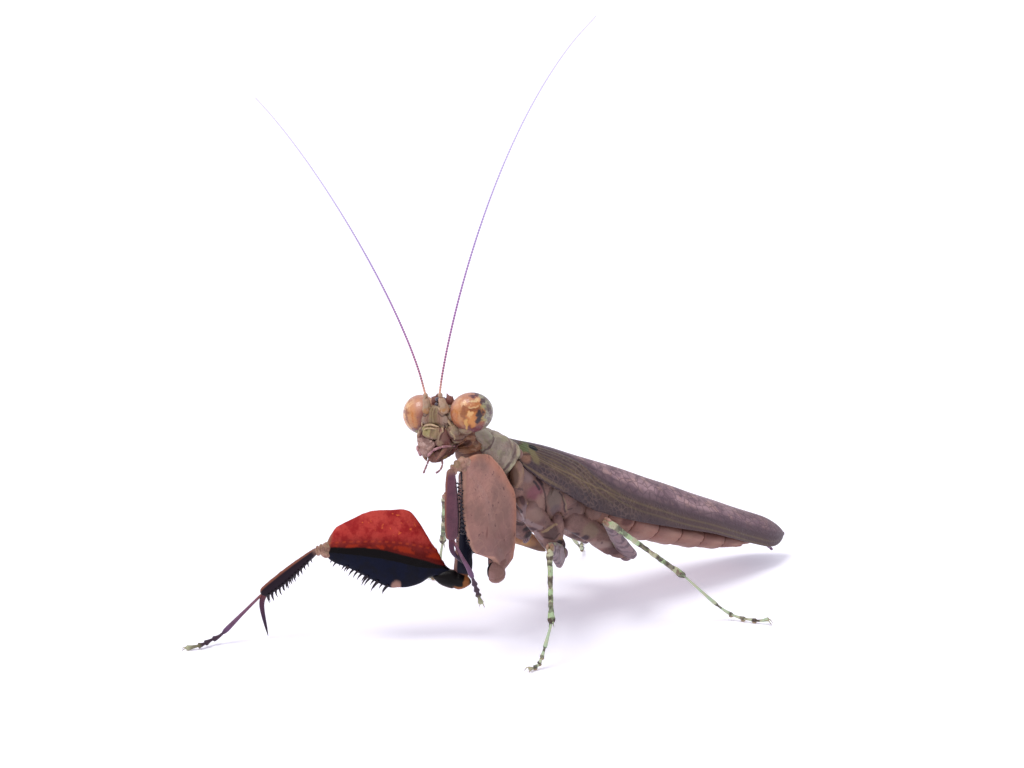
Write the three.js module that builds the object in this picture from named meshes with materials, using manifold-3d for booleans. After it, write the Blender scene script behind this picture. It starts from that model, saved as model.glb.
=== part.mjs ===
// A male boxer mantis (Hestiasula), a still model at life size.
//
// Millimetres, +Z up. The animal stands on z = 0 and faces -Y, so its left side is +X.
// Every piece is a closed solid of its own: head, eyes, feelers, neck, trunk, wings and the
// joints of each leg. A piece that meets another is cut back from it by a hair's breadth.

import * as THREE from "three";
import { mergeVertices } from "three/addons/utils/BufferGeometryUtils.js";
import Module from "manifold-3d";

const wasm = await Module();
wasm.setup();
const { Manifold, Mesh } = wasm;

const point = (x, y, z) => new THREE.Vector3(x, y, z);
const UP = point(0, 0, 1);

// ---------------------------------------------------------------- driving dimensions

const CLEARANCE = 0.03; // between pieces that meet
const FINEST = 0.02; // smaller slivers than this, left by a cut, are closed up

// The trunk's frame: its origin is on the back where the wings begin.
const BACK = point(0, -1.94, 10.32);
const PITCH = THREE.MathUtils.degToRad(24); // the tail end hangs lower than the neck

// The head's frame: its origin is on the face, midway between the feelers' sockets.
const FACE = point(0.3, -6.86, 12.6);
const HEAD_TURN = THREE.MathUtils.degToRad(20); // towards the animal's left
const HEAD_ROLL = THREE.MathUtils.degToRad(9); // left eye raised
const EYE = { across: 1.65, behind: 0.9, rise: -0.2, long: 1.07, deep: 0.9, high: 0.98, splay: 0.61 };

const WING = { length: 21.6, thick: 0.5, overlap: 0.85, gap: 0.25 }; // gap: down to the hind wing
const ABDOMEN = { start: 5.1, end: 17.9, rings: 7 };
const FEELER = { socket: 0.3, base: 0.27, tip: 0.25 };
const FORE = { femurThick: 0.4, spine: 0.5 };

// Joints of the legs, hip to toe. A walking foot's heel and toe lie on the floor.
const LEGS = {
  fore_left: {
    hip: point(1.1, -3.9, 9.3),
    trochanter: point(2.15, -4.3, 3.85),
    knee: point(2.8, -6.9, 10.5),
    shin: point(3.0, -7.75, 10.35),
    ankle: point(3.07, -7.75, 6.6),
    heel: point(3.3, -6.77, 4.65),
    toe: point(2.85, -5.85, 2.75),
    femurBack: point(-0.25, 0.91, 0.34),
    tibiaBack: point(0.2, -0.95, 0),
    clawTip: point(2.95, -7.25, 5.3),
  },
  fore_right: {
    hip: point(-0.9, -3.9, 8.8),
    trochanter: point(0.44, -5.42, 3.3),
    knee: point(-3.6, -11.4, 4.95),
    shin: point(-3.8, -11.7, 4.95),
    ankle: point(-5.55, -14.2, 2.45),
    heel: point(-6.15, -16.4, 0.5),
    toe: point(-5.75, -18.1, 0.16),
    femurBack: point(-0.2, 0.14, 0.97),
    tibiaBack: point(-0.3, -0.25, 0.9),
    clawTip: point(-5.45, -14.05, 0.55),
  },
  mid_left: {
    hip: point(1.65, 0.2, 3.95),
    knee: point(4.9, -2.95, 5.75),
    ankle: point(6.25, -3.8, 2.2),
    heel: point(6.4, -4.55, 0.5),
    toe: point(6.45, -5.35, 0.16),
  },
  mid_right: {
    hip: point(-1.65, 0.2, 3.95),
    knee: point(-5.5, -2.6, 5.9),
    ankle: point(-7.1, -1.75, 2.5),
    heel: point(-7.75, -1.7, 0.5),
    toe: point(-8.5, -1.95, 0.16),
  },
  hind_left: {
    hip: point(1.8, 4.55, 3.05),
    knee: point(4.8, 0.8, 6.5),
    ankle: point(5.6, 5.6, 2.65),
    heel: point(6.6, 7.75, 0.5),
    toe: point(8.15, 9.0, 0.16),
  },
  hind_right: {
    hip: point(-1.8, 4.55, 3.05),
    knee: point(-4.8, 0.8, 6.5),
    ankle: point(-5.6, 5.6, 2.65),
    heel: point(-6.6, 7.75, 0.5),
    toe: point(-8.15, 9.0, 0.16),
  },
};

// ---------------------------------------------------------------- finishes

const finish = (color, roughness) => ({ color, roughness });
const OLIVE = finish(0x8a7a5e, 0.6);
const BROWN = finish(0x8c6a58, 0.6);
const WING_BROWN = finish(0x6d5a50, 0.55);
const SALMON = finish(0xb07a5c, 0.6);
const AMBER = finish(0xc98236, 0.25);
const PEACH = finish(0xd3a183, 0.55);
const SHIELD = finish(0xa07c6c, 0.6);
const RED = finish(0xa3321c, 0.35);
const BLACK = finish(0x1d1a22, 0.3);
const BANDED = finish(0x7d8a66, 0.6);

// ---------------------------------------------------------------- frames

/** A place on the trunk: x to its left, s tailwards along the back, h above the back. */
function trunk(x, s, h) {
  const along = s * Math.cos(PITCH) + h * Math.sin(PITCH);
  const rise = h * Math.cos(PITCH) - s * Math.sin(PITCH);
  return point(BACK.x + x, BACK.y + along, BACK.z + rise);
}

const TRUNK_UP = point(0, Math.sin(PITCH), Math.cos(PITCH));

const headTurn = new THREE.Matrix4()
  .makeRotationZ(HEAD_TURN)
  .multiply(new THREE.Matrix4().makeRotationY(-HEAD_ROLL));
const headFrame = new THREE.Matrix4().setPosition(FACE).multiply(headTurn);

/** A place on the head: left, forward and up from the middle of the face. */
const onHead = (left, forward, up) => point(left, -forward, up).applyMatrix4(headFrame);
const headWay = (left, forward, up) => point(left, -forward, up).transformDirection(headTurn);

// ---------------------------------------------------------------- shapes

/** A smooth value along a part, through [share of its length, value] stations. */
function profile(...stations) {
  const last = stations.length - 1;
  const slope = (i) => {
    const [before, after] = [stations[Math.max(i - 1, 0)], stations[Math.min(i + 1, last)]];
    return (after[1] - before[1]) / (after[0] - before[0]);
  };
  return (t) => {
    let i = 0;
    while (i < last - 1 && t > stations[i + 1][0]) i += 1;
    const span = stations[i + 1][0] - stations[i][0];
    const k = THREE.MathUtils.clamp((t - stations[i][0]) / span, 0, 1);
    const bend = slope(i) * span * k * (1 - k) ** 2 - slope(i + 1) * span * k * k * (1 - k);
    return THREE.MathUtils.lerp(stations[i][1], stations[i + 1][1], k * k * (3 - 2 * k)) + bend;
  };
}

const curve = (...points) =>
  points.length === 2 ? new THREE.LineCurve3(...points) : new THREE.CatmullRomCurve3(points);

/** A geometry's merged triangles as a solid that can be joined and cut. */
function solid(geometry) {
  const bare = geometry.clone();
  for (const name of Object.keys(bare.attributes)) {
    if (name !== "position") bare.deleteAttribute(name);
  }
  const merged = mergeVertices(bare, 1e-5);
  return new Manifold(
    new Mesh({
      numProp: 3,
      vertProperties: new Float32Array(merged.attributes.position.array),
      triVerts: new Uint32Array(merged.index.array),
    }),
  );
}

/** Move every vertex of a geometry by a function of its place. */
function reshape(geometry, move) {
  const at = geometry.attributes.position;
  const place = new THREE.Vector3();
  for (let i = 0; i < at.count; i += 1) {
    const moved = move(place.fromBufferAttribute(at, i));
    at.setXYZ(i, moved.x, moved.y, moved.z);
  }
  return geometry;
}

/**
 * A closed body along a path. up, down and side are its half sizes across the path at each
 * share of its length, and facing is the way that up points. A square under 1 fills out the
 * corners of its section, and grow thickens it all round.
 */
function loft({ path, facing, up, down = up, side = up, sides = 8, steps = 8, square = 1 }, grow = 0) {
  const full = (share) => Math.sign(share) * Math.abs(share) ** square;
  const body = new THREE.CylinderGeometry(1, 1, 1, sides, steps);
  return solid(
    reshape(body, (p) => {
      const t = 0.5 - 0.5 * Math.cos(Math.PI * (p.y + 0.5)); // rings crowd towards both ends
      const ahead = path.getTangentAt(t);
      const rise = facing.clone().addScaledVector(ahead, -facing.dot(ahead)).normalize();
      const across = ahead.clone().cross(rise);
      return path
        .getPointAt(t)
        .addScaledVector(ahead, grow * (2 * t - 1))
        .addScaledVector(rise, full(p.z) * ((p.z > 0 ? up(t) : down(t)) + grow))
        .addScaledVector(across, full(p.x) * (side(t) + grow));
    }),
  );
}

/** A round limb from one joint to the next, with the given half widths along it. */
function limb(from, to, widths, extra = {}) {
  const path = curve(...[from, extra.via, to].filter(Boolean));
  const ahead = to.clone().sub(from);
  const facing = extra.facing ?? (Math.abs(ahead.z) > 0.8 * ahead.length() ? point(0, -1, 0) : UP);
  const spec = { path, facing, up: profile(...widths), sides: 8, steps: 4, ...extra };
  return (grow) => loft(spec, grow);
}

/** An egg shape with its three half sizes along three given directions. */
function egg(centre, axes, sizes, segments = 14) {
  return (grow) => {
    const body = new THREE.SphereGeometry(1, segments, Math.round(segments * 0.7));
    return solid(
      reshape(body, (p) =>
        centre
          .clone()
          .addScaledVector(axes[0], p.x * (sizes[0] + grow))
          .addScaledVector(axes[1], p.y * (sizes[1] + grow))
          .addScaledVector(axes[2], p.z * (sizes[2] + grow)),
      ),
    );
  };
}

/** A pointed spine from a root in the limb to its tip. */
function spine(root, tip, radius) {
  const length = root.distanceTo(tip);
  const cone = new THREE.ConeGeometry(radius, length, 3).translate(0, length / 2, 0);
  const turn = new THREE.Quaternion().setFromUnitVectors(
    point(0, 1, 0),
    tip.clone().sub(root).normalize(),
  );
  return solid(cone.applyQuaternion(turn).translate(root.x, root.y, root.z));
}

/** A plate: top(across, along) is its upper face for shares 0 to 1, and its body is under that. */
function plate(top, thick, across, along) {
  const nudge = 0.01;
  return (grow) => {
    const slab = new THREE.BoxGeometry(1, 1, 1, across, along, 1).translate(0.5, 0.5, 0);
    return solid(
      reshape(slab, ({ x, y, z }) => {
        const rise = z > 0 ? grow : -thick - grow;
        const wide = top(x + nudge, y, grow).sub(top(x - nudge, y, grow));
        const long = top(x, y + nudge, grow).sub(top(x, y - nudge, grow));
        return top(x, y, grow).addScaledVector(wide.cross(long).normalize(), rise);
      }),
    );
  };
}

// ---------------------------------------------------------------- assembly

const placed = []; // pieces so far: name, finish, body and the room that later ones leave it

/** Cut a solid back from the pieces already placed, and keep its largest remnant. */
function giveWay(body) {
  for (const { room } of placed) {
    const [mine, theirs] = [body.boundingBox(), room.boundingBox()];
    const apart = [0, 1, 2].some((i) => mine.min[i] > theirs.max[i] || theirs.min[i] > mine.max[i]);
    if (!apart) body = body.subtract(room);
  }
  const shells = body.simplify(FINEST).decompose();
  return shells.sort((a, b) => b.volume() - a.volume())[0];
}

/** Place a piece. make(grow) gives its solid, thickened all round by grow. */
function place(name, look, make) {
  placed.push({ name, look, body: giveWay(make(0)), room: make(CLEARANCE) });
}

const SIDES = { left: 1, right: -1 };

// ---- the floor takes what would hang below it, so that the feet get flats
const ground = solid(new THREE.BoxGeometry(80, 80, 4).translate(0, 0, -2));
placed.push({ room: ground });

// ---------------------------------------------------------------- head

const eyeOut = (sign) => headWay(sign * Math.cos(EYE.splay), -Math.sin(EYE.splay), 0);
const eyeFront = (sign) => headWay(sign * Math.sin(EYE.splay), Math.cos(EYE.splay), 0);

for (const [side, sign] of Object.entries(SIDES)) {
  const axes = [eyeOut(sign), headWay(0, 0, 1), eyeFront(sign)];
  if (sign < 0) axes[2].negate();
  const centre = onHead(sign * EYE.across, -EYE.behind, EYE.rise);
  place(`eye_${side}`, AMBER, egg(centre, axes, [EYE.long, EYE.high, EYE.deep], 12));
}

// The upper lip and face shield: a plate down the front of the face.
place("labrum", OLIVE, (grow) =>
  loft(
    {
      path: curve(onHead(0, 0.25, -0.6), onHead(0, 0.4, -1.35), onHead(0, 0.5, -2.2)),
      facing: headWay(0, 1, 0),
      up: profile([0, 0.1], [0.15, 0.22], [0.6, 0.24], [1, 0.14]),
      down: () => 0.2,
      side: profile([0, 0.35], [0.15, 0.58], [0.5, 0.6], [0.8, 0.5], [1, 0.28]),
      sides: 10,
      steps: 6,
      square: 0.85,
    },
    grow,
  ),
);

// The head capsule runs from the crown down to the cheeks. Two blunt horns stand on the
// crown behind the feelers, and a simple eye bulges between them.
place("head", OLIVE, (grow) => {
  const capsule = loft(
    {
      path: curve(onHead(0, -0.62, 0.42), onHead(0, -0.75, -0.4), onHead(0, -0.6, -1.95)),
      facing: headWay(0, 1, 0),
      up: profile([0, 0.4], [0.12, 0.7], [0.35, 1.02], [0.7, 0.98], [1, 0.75]),
      down: profile([0, 0.35], [0.12, 0.7], [0.4, 0.95], [0.75, 0.85], [1, 0.35]),
      side: profile([0, 0.7], [0.12, 1.2], [0.35, 1.6], [0.6, 1.5], [0.8, 1.15], [1, 0.55]),
      sides: 12,
      steps: 7,
      square: 0.85,
    },
    grow,
  );
  const axes = [headWay(1, 0, 0), headWay(0, 1, 0), headWay(0, 0, 1)];
  const horns = Object.values(SIDES).map((sign) =>
    egg(onHead(sign * 0.42, -0.68, 0.5), axes, [0.26, 0.24, 0.42], 6)(grow),
  );
  const ocellus = egg(onHead(0, 0.0, 0.42), axes, [0.2, 0.2, 0.24], 6)(grow);
  return capsule.add(horns[0]).add(horns[1]).add(ocellus);
});

// Jaws and lower lip, with the two short lip palps joined on.
place("jaws", BROWN, (grow) => {
  const mouth = loft(
    {
      path: curve(onHead(0, -0.9, -1.75), onHead(0, -0.1, -2.15), onHead(0, 0.45, -2.45)),
      facing: headWay(0, 1, 0.6),
      up: profile([0, 0.3], [0.4, 0.4], [1, 0.18]),
      side: profile([0, 0.7], [0.5, 0.62], [1, 0.34]),
      steps: 4,
    },
    grow,
  );
  return Object.values(SIDES).reduce((body, sign) => {
    const from = onHead(sign * 0.35, 0.0, -2.3);
    const to = onHead(sign * 0.4, 0.78, -3.05);
    const palp = limb(from, to, [[0, 0.16], [0.7, 0.16], [1, 0.1]], {
      via: onHead(sign * 0.5, 0.22, -2.8),
      sides: 6,
      steps: 4,
    });
    return body.add(palp(grow));
  }, mouth);
});

for (const [side, sign] of Object.entries(SIDES)) {
  const from = onHead(sign * 0.85, -0.4, -1.95);
  const to = onHead(sign * 0.4, 1.2, -2.2);
  const palp = limb(from, to, [[0, 0.17], [0.7, 0.17], [1, 0.1]], {
    via: onHead(sign * 0.85, 0.75, -1.8),
    sides: 6,
    steps: 5,
  });
  place(`palp_${side}`, BROWN, palp);
}

// ---------------------------------------------------------------- feelers

// From its second joint, how each feeler starts off, where its tip is and how it gets there.
const FEELERS = {
  left: { start: point(1.0, 0.9, 5.5), bend: point(3.5, 3.45, 3.4), tip: point(4.8, 6.2, 19.1) },
  right: { start: point(-2.65, 0, 4.4), bend: point(-3.55, -1.8, 3.3), tip: point(-10.75, -3.65, 14.5) },
};

for (const [side, sign] of Object.entries(SIDES)) {
  const { start, bend, tip } = FEELERS[side];
  const socket = onHead(sign * 0.6, 0.05, -0.05);
  const joint = onHead(sign * 0.47, 0.2, 0.98);
  const scape = limb(socket, joint, [[0, FEELER.socket], [0.6, 0.25], [0.8, 0.2], [1, 0.23]]);
  place(`scape_${side}`, PEACH, scape);

  const whole = new THREE.CubicBezierCurve3(
    joint,
    joint.clone().add(start),
    joint.clone().add(tip).sub(bend),
    joint.clone().add(tip),
  );
  const lengths = 2;
  const gap = (2 * CLEARANCE) / whole.getLength(); // between one length and the next
  for (let i = 0; i < lengths; i += 1) {
    const [from, to] = [i / lengths + gap, (i + 1) / lengths];
    const stations = [0, 0.25, 0.5, 0.75, 1].map((k) => whole.getPointAt(from + (to - from) * k));
    const thick = (share) => THREE.MathUtils.lerp(FEELER.base, FEELER.tip, share);
    place(`feeler_${side}_${i + 1}`, PEACH, (grow) =>
      loft(
        {
          path: curve(...stations),
          facing: point(0, -1, 0),
          up: profile([0, thick(from)], [0.97, thick(to)], [1, 0.8 * thick(to)]),
          sides: 6,
          steps: 10,
        },
        grow,
      ),
    );
  }
}

// ---------------------------------------------------------------- wings

// The folded forewings make a roof: flat along the midline and drooping to the front edges.
const wingHalf = profile(
  [0, 1.3], [0.07, 2.0], [0.15, 2.25], [0.3, 2.3], [0.5, 2.2], [0.7, 2.0], [0.85, 1.6], [0.95, 1.05],
  [1, 0.55],
);
const wingDroop = profile(
  [0, 1.0], [0.08, 1.6], [0.14, 1.75], [0.33, 1.9], [0.45, 1.7], [0.58, 1.42], [0.8, 1.05], [1, 0.6],
);
const wingArch = profile([0, 0], [0.15, 0.25], [0.45, 0.35], [0.7, 0.32], [1, 0.1]);

/** Height of the wing roof at x, a share t of the wing's length from its root. */
const roof = (x, t) =>
  wingArch(t) - (wingDroop(t) + wingArch(t)) * Math.min(1, Math.abs(x) / wingHalf(t)) ** 2.2;

// The left forewing lies across the midline, and the right one shows beyond its edge.
const INNER_EDGES = { left: -WING.overlap, right: -WING.overlap - 2 * CLEARANCE };

for (const [side, sign] of Object.entries(SIDES)) {
  place(
    `forewing_${side}`,
    WING_BROWN,
    plate(
      (across, along, grow) => {
        const edge = sign > 0 ? across : 1 - across; // 0 at the inner edge, 1 at the front edge
        const narrow = 1 - 0.9 * THREE.MathUtils.smoothstep(along, 0.93, 1.0);
        const x = THREE.MathUtils.lerp(INNER_EDGES[side] * narrow, sign * wingHalf(along), edge);
        const wide = x + grow * (2 * across - 1);
        return trunk(wide, along * WING.length + grow * (2 * along - 1), roof(x, along));
      },
      WING.thick,
      sign > 0 ? 6 : 4,
      12,
    ),
  );
}

// The hind wings are folded like fans under the forewings.
for (const [side, sign] of Object.entries(SIDES)) {
  place(
    `hindwing_${side}`,
    WING_BROWN,
    plate(
      (across, along, grow) => {
        const wide = THREE.MathUtils.lerp(1.45, 0.8, along ** 2);
        const x = sign > 0 ? 0.02 + across * wide : -0.02 - (1 - across) * wide;
        const t = THREE.MathUtils.lerp(0.12, 0.93, along);
        return trunk(x + grow * (2 * across - 1), t * WING.length, roof(x, t) - WING.thick - WING.gap);
      },
      0.5,
      2,
      8,
    ),
  );
}

// ---------------------------------------------------------------- trunk

// The neck shield is a saddle over the fore coxae, widest a third of the way back.
const SHIELD_FRONT = -3.75;
place("pronotum", OLIVE, (grow) =>
  loft(
    {
      path: curve(trunk(0, SHIELD_FRONT, -0.35), trunk(0, -1.8, -0.5), trunk(0, -0.3, -0.7)),
      facing: TRUNK_UP,
      up: profile([0, 0.2], [0.12, 0.42], [0.5, 0.55], [0.9, 0.65], [1, 0.55]),
      down: profile([0, 0.3], [0.2, 0.6], [0.6, 0.8], [1, 1.0]),
      side: profile([0, 0.75], [0.12, 1.3], [0.4, 1.75], [0.7, 1.45], [0.95, 1.5], [1, 1.4]),
      sides: 12,
      steps: 6,
    },
    grow,
  ),
);

place("neck", BROWN, (grow) =>
  loft(
    {
      path: curve(onHead(0, -0.9, -0.95), point(0.1, -5.0, 11.15), trunk(0, -3.0, -1.2)),
      facing: TRUNK_UP,
      up: profile([0, 0.75], [0.5, 0.62], [1, 0.7]),
      side: profile([0, 0.85], [0.5, 0.75], [1, 0.95]),
      sides: 12,
      steps: 5,
    },
    grow,
  ),
);

place("prothorax", BROWN, (grow) =>
  loft(
    {
      path: curve(trunk(0, -2.75, -1.45), trunk(0, -0.2, -1.75)),
      facing: TRUNK_UP,
      up: () => 0.9,
      down: profile([0, 0.45], [0.4, 0.9], [1, 0.9]),
      side: profile([0, 0.8], [0.5, 1.25], [1, 1.2]),
      sides: 10,
      steps: 4,
    },
    grow,
  ),
);

const THORAX = [
  { name: "mesothorax", from: -0.3, to: 2.5, low: [1.7, 2.3, 2.35], wide: [1.3, 1.65, 1.6] },
  { name: "metathorax", from: 2.53, to: 5.1, low: [2.3, 2.35, 1.5], wide: [1.6, 1.7, 1.55] },
];
for (const { name, from, to, low, wide } of THORAX) {
  place(name, BROWN, (grow) =>
    loft(
      {
        path: curve(trunk(0, from, -1.7), trunk(0, to, -1.75)),
        facing: TRUNK_UP,
        up: () => 1.2,
        down: profile([0, low[0]], [0.5, low[1]], [1, low[2]]),
        side: profile([0, wide[0]], [0.5, wide[1]], [1, wide[2]]),
        sides: 10,
        steps: 4,
      },
      grow,
    ),
  );
}

// Each abdominal ring flares a little to its rear edge, and the next begins inside it.
const abdomenHalf = profile([0, 1.5], [0.3, 1.85], [0.6, 1.8], [0.85, 1.5], [1, 1.15]);
const abdomenMiddle = profile([0, -2.1], [0.4, -2.1], [0.8, -1.75], [1, -1.4]);
const abdomenDeep = profile([0, 1.25], [0.4, 1.05], [0.8, 0.75], [1, 0.4]);
const ring = (ABDOMEN.end - ABDOMEN.start) / ABDOMEN.rings;
for (let i = 0; i < ABDOMEN.rings; i += 1) {
  const at = (k) => (i + k) / ABDOMEN.rings;
  const middle = (k) => trunk(0, ABDOMEN.start + ring * (i + k), abdomenMiddle(at(k)));
  const flare = (size) => (k) => size(at(k)) * (0.9 + 0.14 * k);
  place(`abdomen_${i + 1}`, SALMON, (grow) =>
    loft(
      {
        path: curve(middle(0.01), middle(0.99)),
        facing: TRUNK_UP,
        up: () => 0.75,
        down: flare(abdomenDeep),
        side: flare(abdomenHalf),
        sides: 12,
        steps: 3,
      },
      grow,
    ),
  );
}

place("tail_plate", SALMON, (grow) =>
  loft(
    {
      path: curve(trunk(0, ABDOMEN.end + 0.03, -1.4), trunk(0, ABDOMEN.end + 1.3, -1.15)),
      facing: TRUNK_UP,
      up: () => 0.4,
      down: profile([0, 0.36], [1, 0.2]),
      side: profile([0, 1.05], [0.6, 0.8], [1, 0.4]),
      sides: 10,
      steps: 4,
    },
    grow,
  ),
);

for (const [side, sign] of Object.entries(SIDES)) {
  const widths = [[0, 0.22], [0.5, 0.24], [1, 0.1]];
  const from = trunk(sign * 1.1, ABDOMEN.end + 0.6, -1.3);
  place(`cercus_${side}`, SALMON, limb(from, trunk(sign * 1.2, ABDOMEN.end + 2.4, -1.35), widths));
}

// ---------------------------------------------------------------- fore legs

const femurRise = profile(
  [0, 0.4], [0.05, 0.9], [0.12, 1.5], [0.25, 2.25], [0.45, 2.8], [0.65, 2.5], [0.82, 1.85],
  [0.94, 1.15], [1, 0.5],
);
const femurDrop = profile(
  [0, 0.3], [0.15, 0.42], [0.3, 1.0], [0.45, 1.25], [0.6, 1.15], [0.8, 0.7], [0.94, 0.5], [1, 0.3],
);

/** A row of spines along one edge of a limb, pointing away from its middle line. */
function comb(body, { path, facing, edge, from, to, count, reach, lean, radius }) {
  for (let i = 0; i < count; i += 1) {
    const t = THREE.MathUtils.lerp(from, to, i / (count - 1));
    const ahead = path.getTangentAt(t);
    const out = facing.clone().addScaledVector(ahead, -facing.dot(ahead)).normalize().negate();
    const root = path.getPointAt(t).addScaledVector(out, edge(t) - 0.1);
    const long = reach * (i % 2 ? 0.7 : 1);
    const tip = root.clone().addScaledVector(out, long + 0.1).addScaledVector(ahead, lean * long);
    body = body.add(spine(root, tip, radius));
  }
  return body;
}

for (const side of Object.keys(SIDES)) {
  const leg = LEGS[`fore_${side}`];
  const femurPath = curve(leg.trochanter.clone().lerp(leg.knee, 0.07), leg.knee);
  const tibiaPath = curve(leg.shin, leg.ankle);

  place(`fore_femur_${side}`, side === "left" ? SHIELD : RED, (grow) => {
    const disc = loft(
      {
        path: femurPath,
        facing: leg.femurBack,
        up: femurRise,
        down: femurDrop,
        side: profile([0, 0.3], [0.4, FORE.femurThick], [1, 0.28]),
        sides: 14,
        steps: 12,
      },
      grow,
    );
    const row = { path: femurPath, facing: leg.femurBack, edge: femurDrop, lean: 0.1, radius: 0.09 };
    return comb(disc, { ...row, from: 0.42, to: 0.92, count: 8, reach: FORE.spine });
  });

  place(`fore_tibia_${side}`, BLACK, (grow) => {
    const shin = loft(
      {
        path: tibiaPath,
        facing: leg.tibiaBack,
        up: profile([0, 0.2], [0.2, 0.3], [0.8, 0.3], [1, 0.24]),
        down: profile([0, 0.2], [0.2, 0.32], [0.6, 0.36], [1, 0.25]),
        side: () => 0.26,
        sides: 8,
        steps: 6,
      },
      grow,
    );
    const row = { path: tibiaPath, facing: leg.tibiaBack, edge: () => 0.34, lean: 0.4, radius: 0.08 };
    const combed = comb(shin, { ...row, from: 0.25, to: 0.88, count: 8, reach: 0.36 });
    const root = leg.shin.clone().lerp(leg.ankle, 0.93);
    const bow = leg.ankle.clone().lerp(leg.clawTip, 0.45);
    bow.addScaledVector(leg.tibiaBack, 0.18);
    const claw = limb(root, leg.clawTip, [[0, 0.2], [0.4, 0.17], [1, 0.05]], {
      via: bow,
      sides: 6,
      steps: 6,
    });
    return combed.add(claw(grow));
  });

  place(`fore_coxa_${side}`, BROWN, limb(leg.hip, leg.trochanter, [
    [0, 0.62], [0.3, 0.55], [0.75, 0.42], [0.93, 0.48], [1, 0.3],
  ], { sides: 8, steps: 6 }));

  const bend = leg.trochanter.clone();
  const out = leg.femurBack.clone().multiplyScalar(-0.1);
  place(`fore_trochanter_${side}`, BLACK, egg(
    bend.clone().lerp(leg.knee, 0.02).add(out),
    [point(1, 0, 0), point(0, 1, 0), point(0, 0, 1)],
    [0.5, 0.55, 0.55],
    6,
  ));

  const start = leg.ankle.clone().lerp(leg.heel, 0.08);
  place(`fore_tarsus_${side}`, PEACH, (grow) => {
    const foot = limb(start, leg.toe, [[0, 0.24], [0.5, 0.24], [0.7, 0.26], [1, 0.25]], {
      via: leg.heel,
      steps: 10,
    });
    return foot(grow);
  });
}

// ---------------------------------------------------------------- walking legs

for (const pair of ["mid", "hind"]) {
  for (const [side, sign] of Object.entries(SIDES)) {
    const leg = LEGS[`${pair}_${side}`];
    const root = trunk(sign * 1.0, pair === "mid" ? 1.3 : 4.2, -2.9);

    place(`${pair}_femur_${side}`, BANDED, (grow) => {
      // The thigh is a blade with a low lobe under its near half, on the shin's side.
      return loft(
        {
          path: curve(leg.hip, leg.knee),
          facing: leg.knee.clone().sub(leg.ankle),
          up: profile([0, 0.34], [0.3, 0.4], [0.9, 0.32], [1, 0.22]),
          down: profile([0, 0.5], [0.2, 0.8], [0.55, 0.5], [0.9, 0.36], [1, 0.25]),
          side: profile([0, 0.3], [0.3, 0.32], [0.9, 0.27], [1, 0.22]),
          sides: 10,
          steps: 6,
        },
        grow,
      );
    });

    place(`${pair}_coxa_${side}`, BROWN, limb(root, leg.hip, [
      [0, 0.85], [0.5, 0.75], [0.85, 0.6], [1, 0.35],
    ], { sides: 8, steps: 4 }));

    const shin = leg.knee.clone().lerp(leg.ankle, 0.06);
    place(`${pair}_tibia_${side}`, BANDED, limb(shin, leg.ankle, [
      [0, 0.26], [0.1, 0.27], [0.9, 0.25], [1, 0.27],
    ]));

    // The foot: a long joint down to the heel, then short joints flat along the floor.
    const ankle = leg.ankle.clone().lerp(leg.heel, 0.08);
    const along = leg.toe.clone().sub(leg.heel).setZ(0).normalize();
    place(`${pair}_foot_${side}`, BANDED, (grow) => {
      const path = curve(ankle, leg.heel, leg.toe.clone().addScaledVector(along, -0.35), leg.toe);
      return loft(
        {
          path,
          facing: UP.clone().addScaledVector(along, 0.5),
          up: profile([0, 0.25], [0.6, 0.25], [0.85, 0.3], [1, 0.2]),
          side: profile([0, 0.25], [0.6, 0.25], [0.85, 0.34], [1, 0.25]),
          sides: 8,
          steps: 8,
        },
        grow,
      );
    });
  }
}

// ---------------------------------------------------------------- the finished model

const mantis = new THREE.Group();
for (const { name, look, body } of placed.filter((piece) => piece.name)) {
  const { vertProperties, triVerts } = body.getMesh();
  const geometry = new THREE.BufferGeometry();
  geometry.setAttribute("position", new THREE.BufferAttribute(vertProperties, 3));
  geometry.setIndex(new THREE.BufferAttribute(triVerts, 1));
  geometry.computeVertexNormals();
  const mesh = new THREE.Mesh(geometry, new THREE.MeshStandardMaterial(look));
  mesh.name = name;
  mantis.add(mesh);
}

// Stand the model on its own centre.
const box = new THREE.Box3().setFromObject(mantis);
mantis.position.set(-(box.min.x + box.max.x) / 2, -(box.min.y + box.max.y) / 2, -box.min.z);

export default mantis;
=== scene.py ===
"""A boxer mantis, a still model at life size: every plate, joint and wing is dressed on the frame.

Places are in millimetres on the standing animal: it faces -Y, its left side is +X and the floor
is z = 0. The frame gives the shift from there to its own origin, and finished meshes are in
metres in the frame's own place.
"""

import math

import bmesh
import bpy
from bpy.props import FloatProperty, FloatVectorProperty, IntProperty, PointerProperty
from bpy.types import Operator, Panel, PropertyGroup
from mathutils import Matrix, Vector, noise


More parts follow.
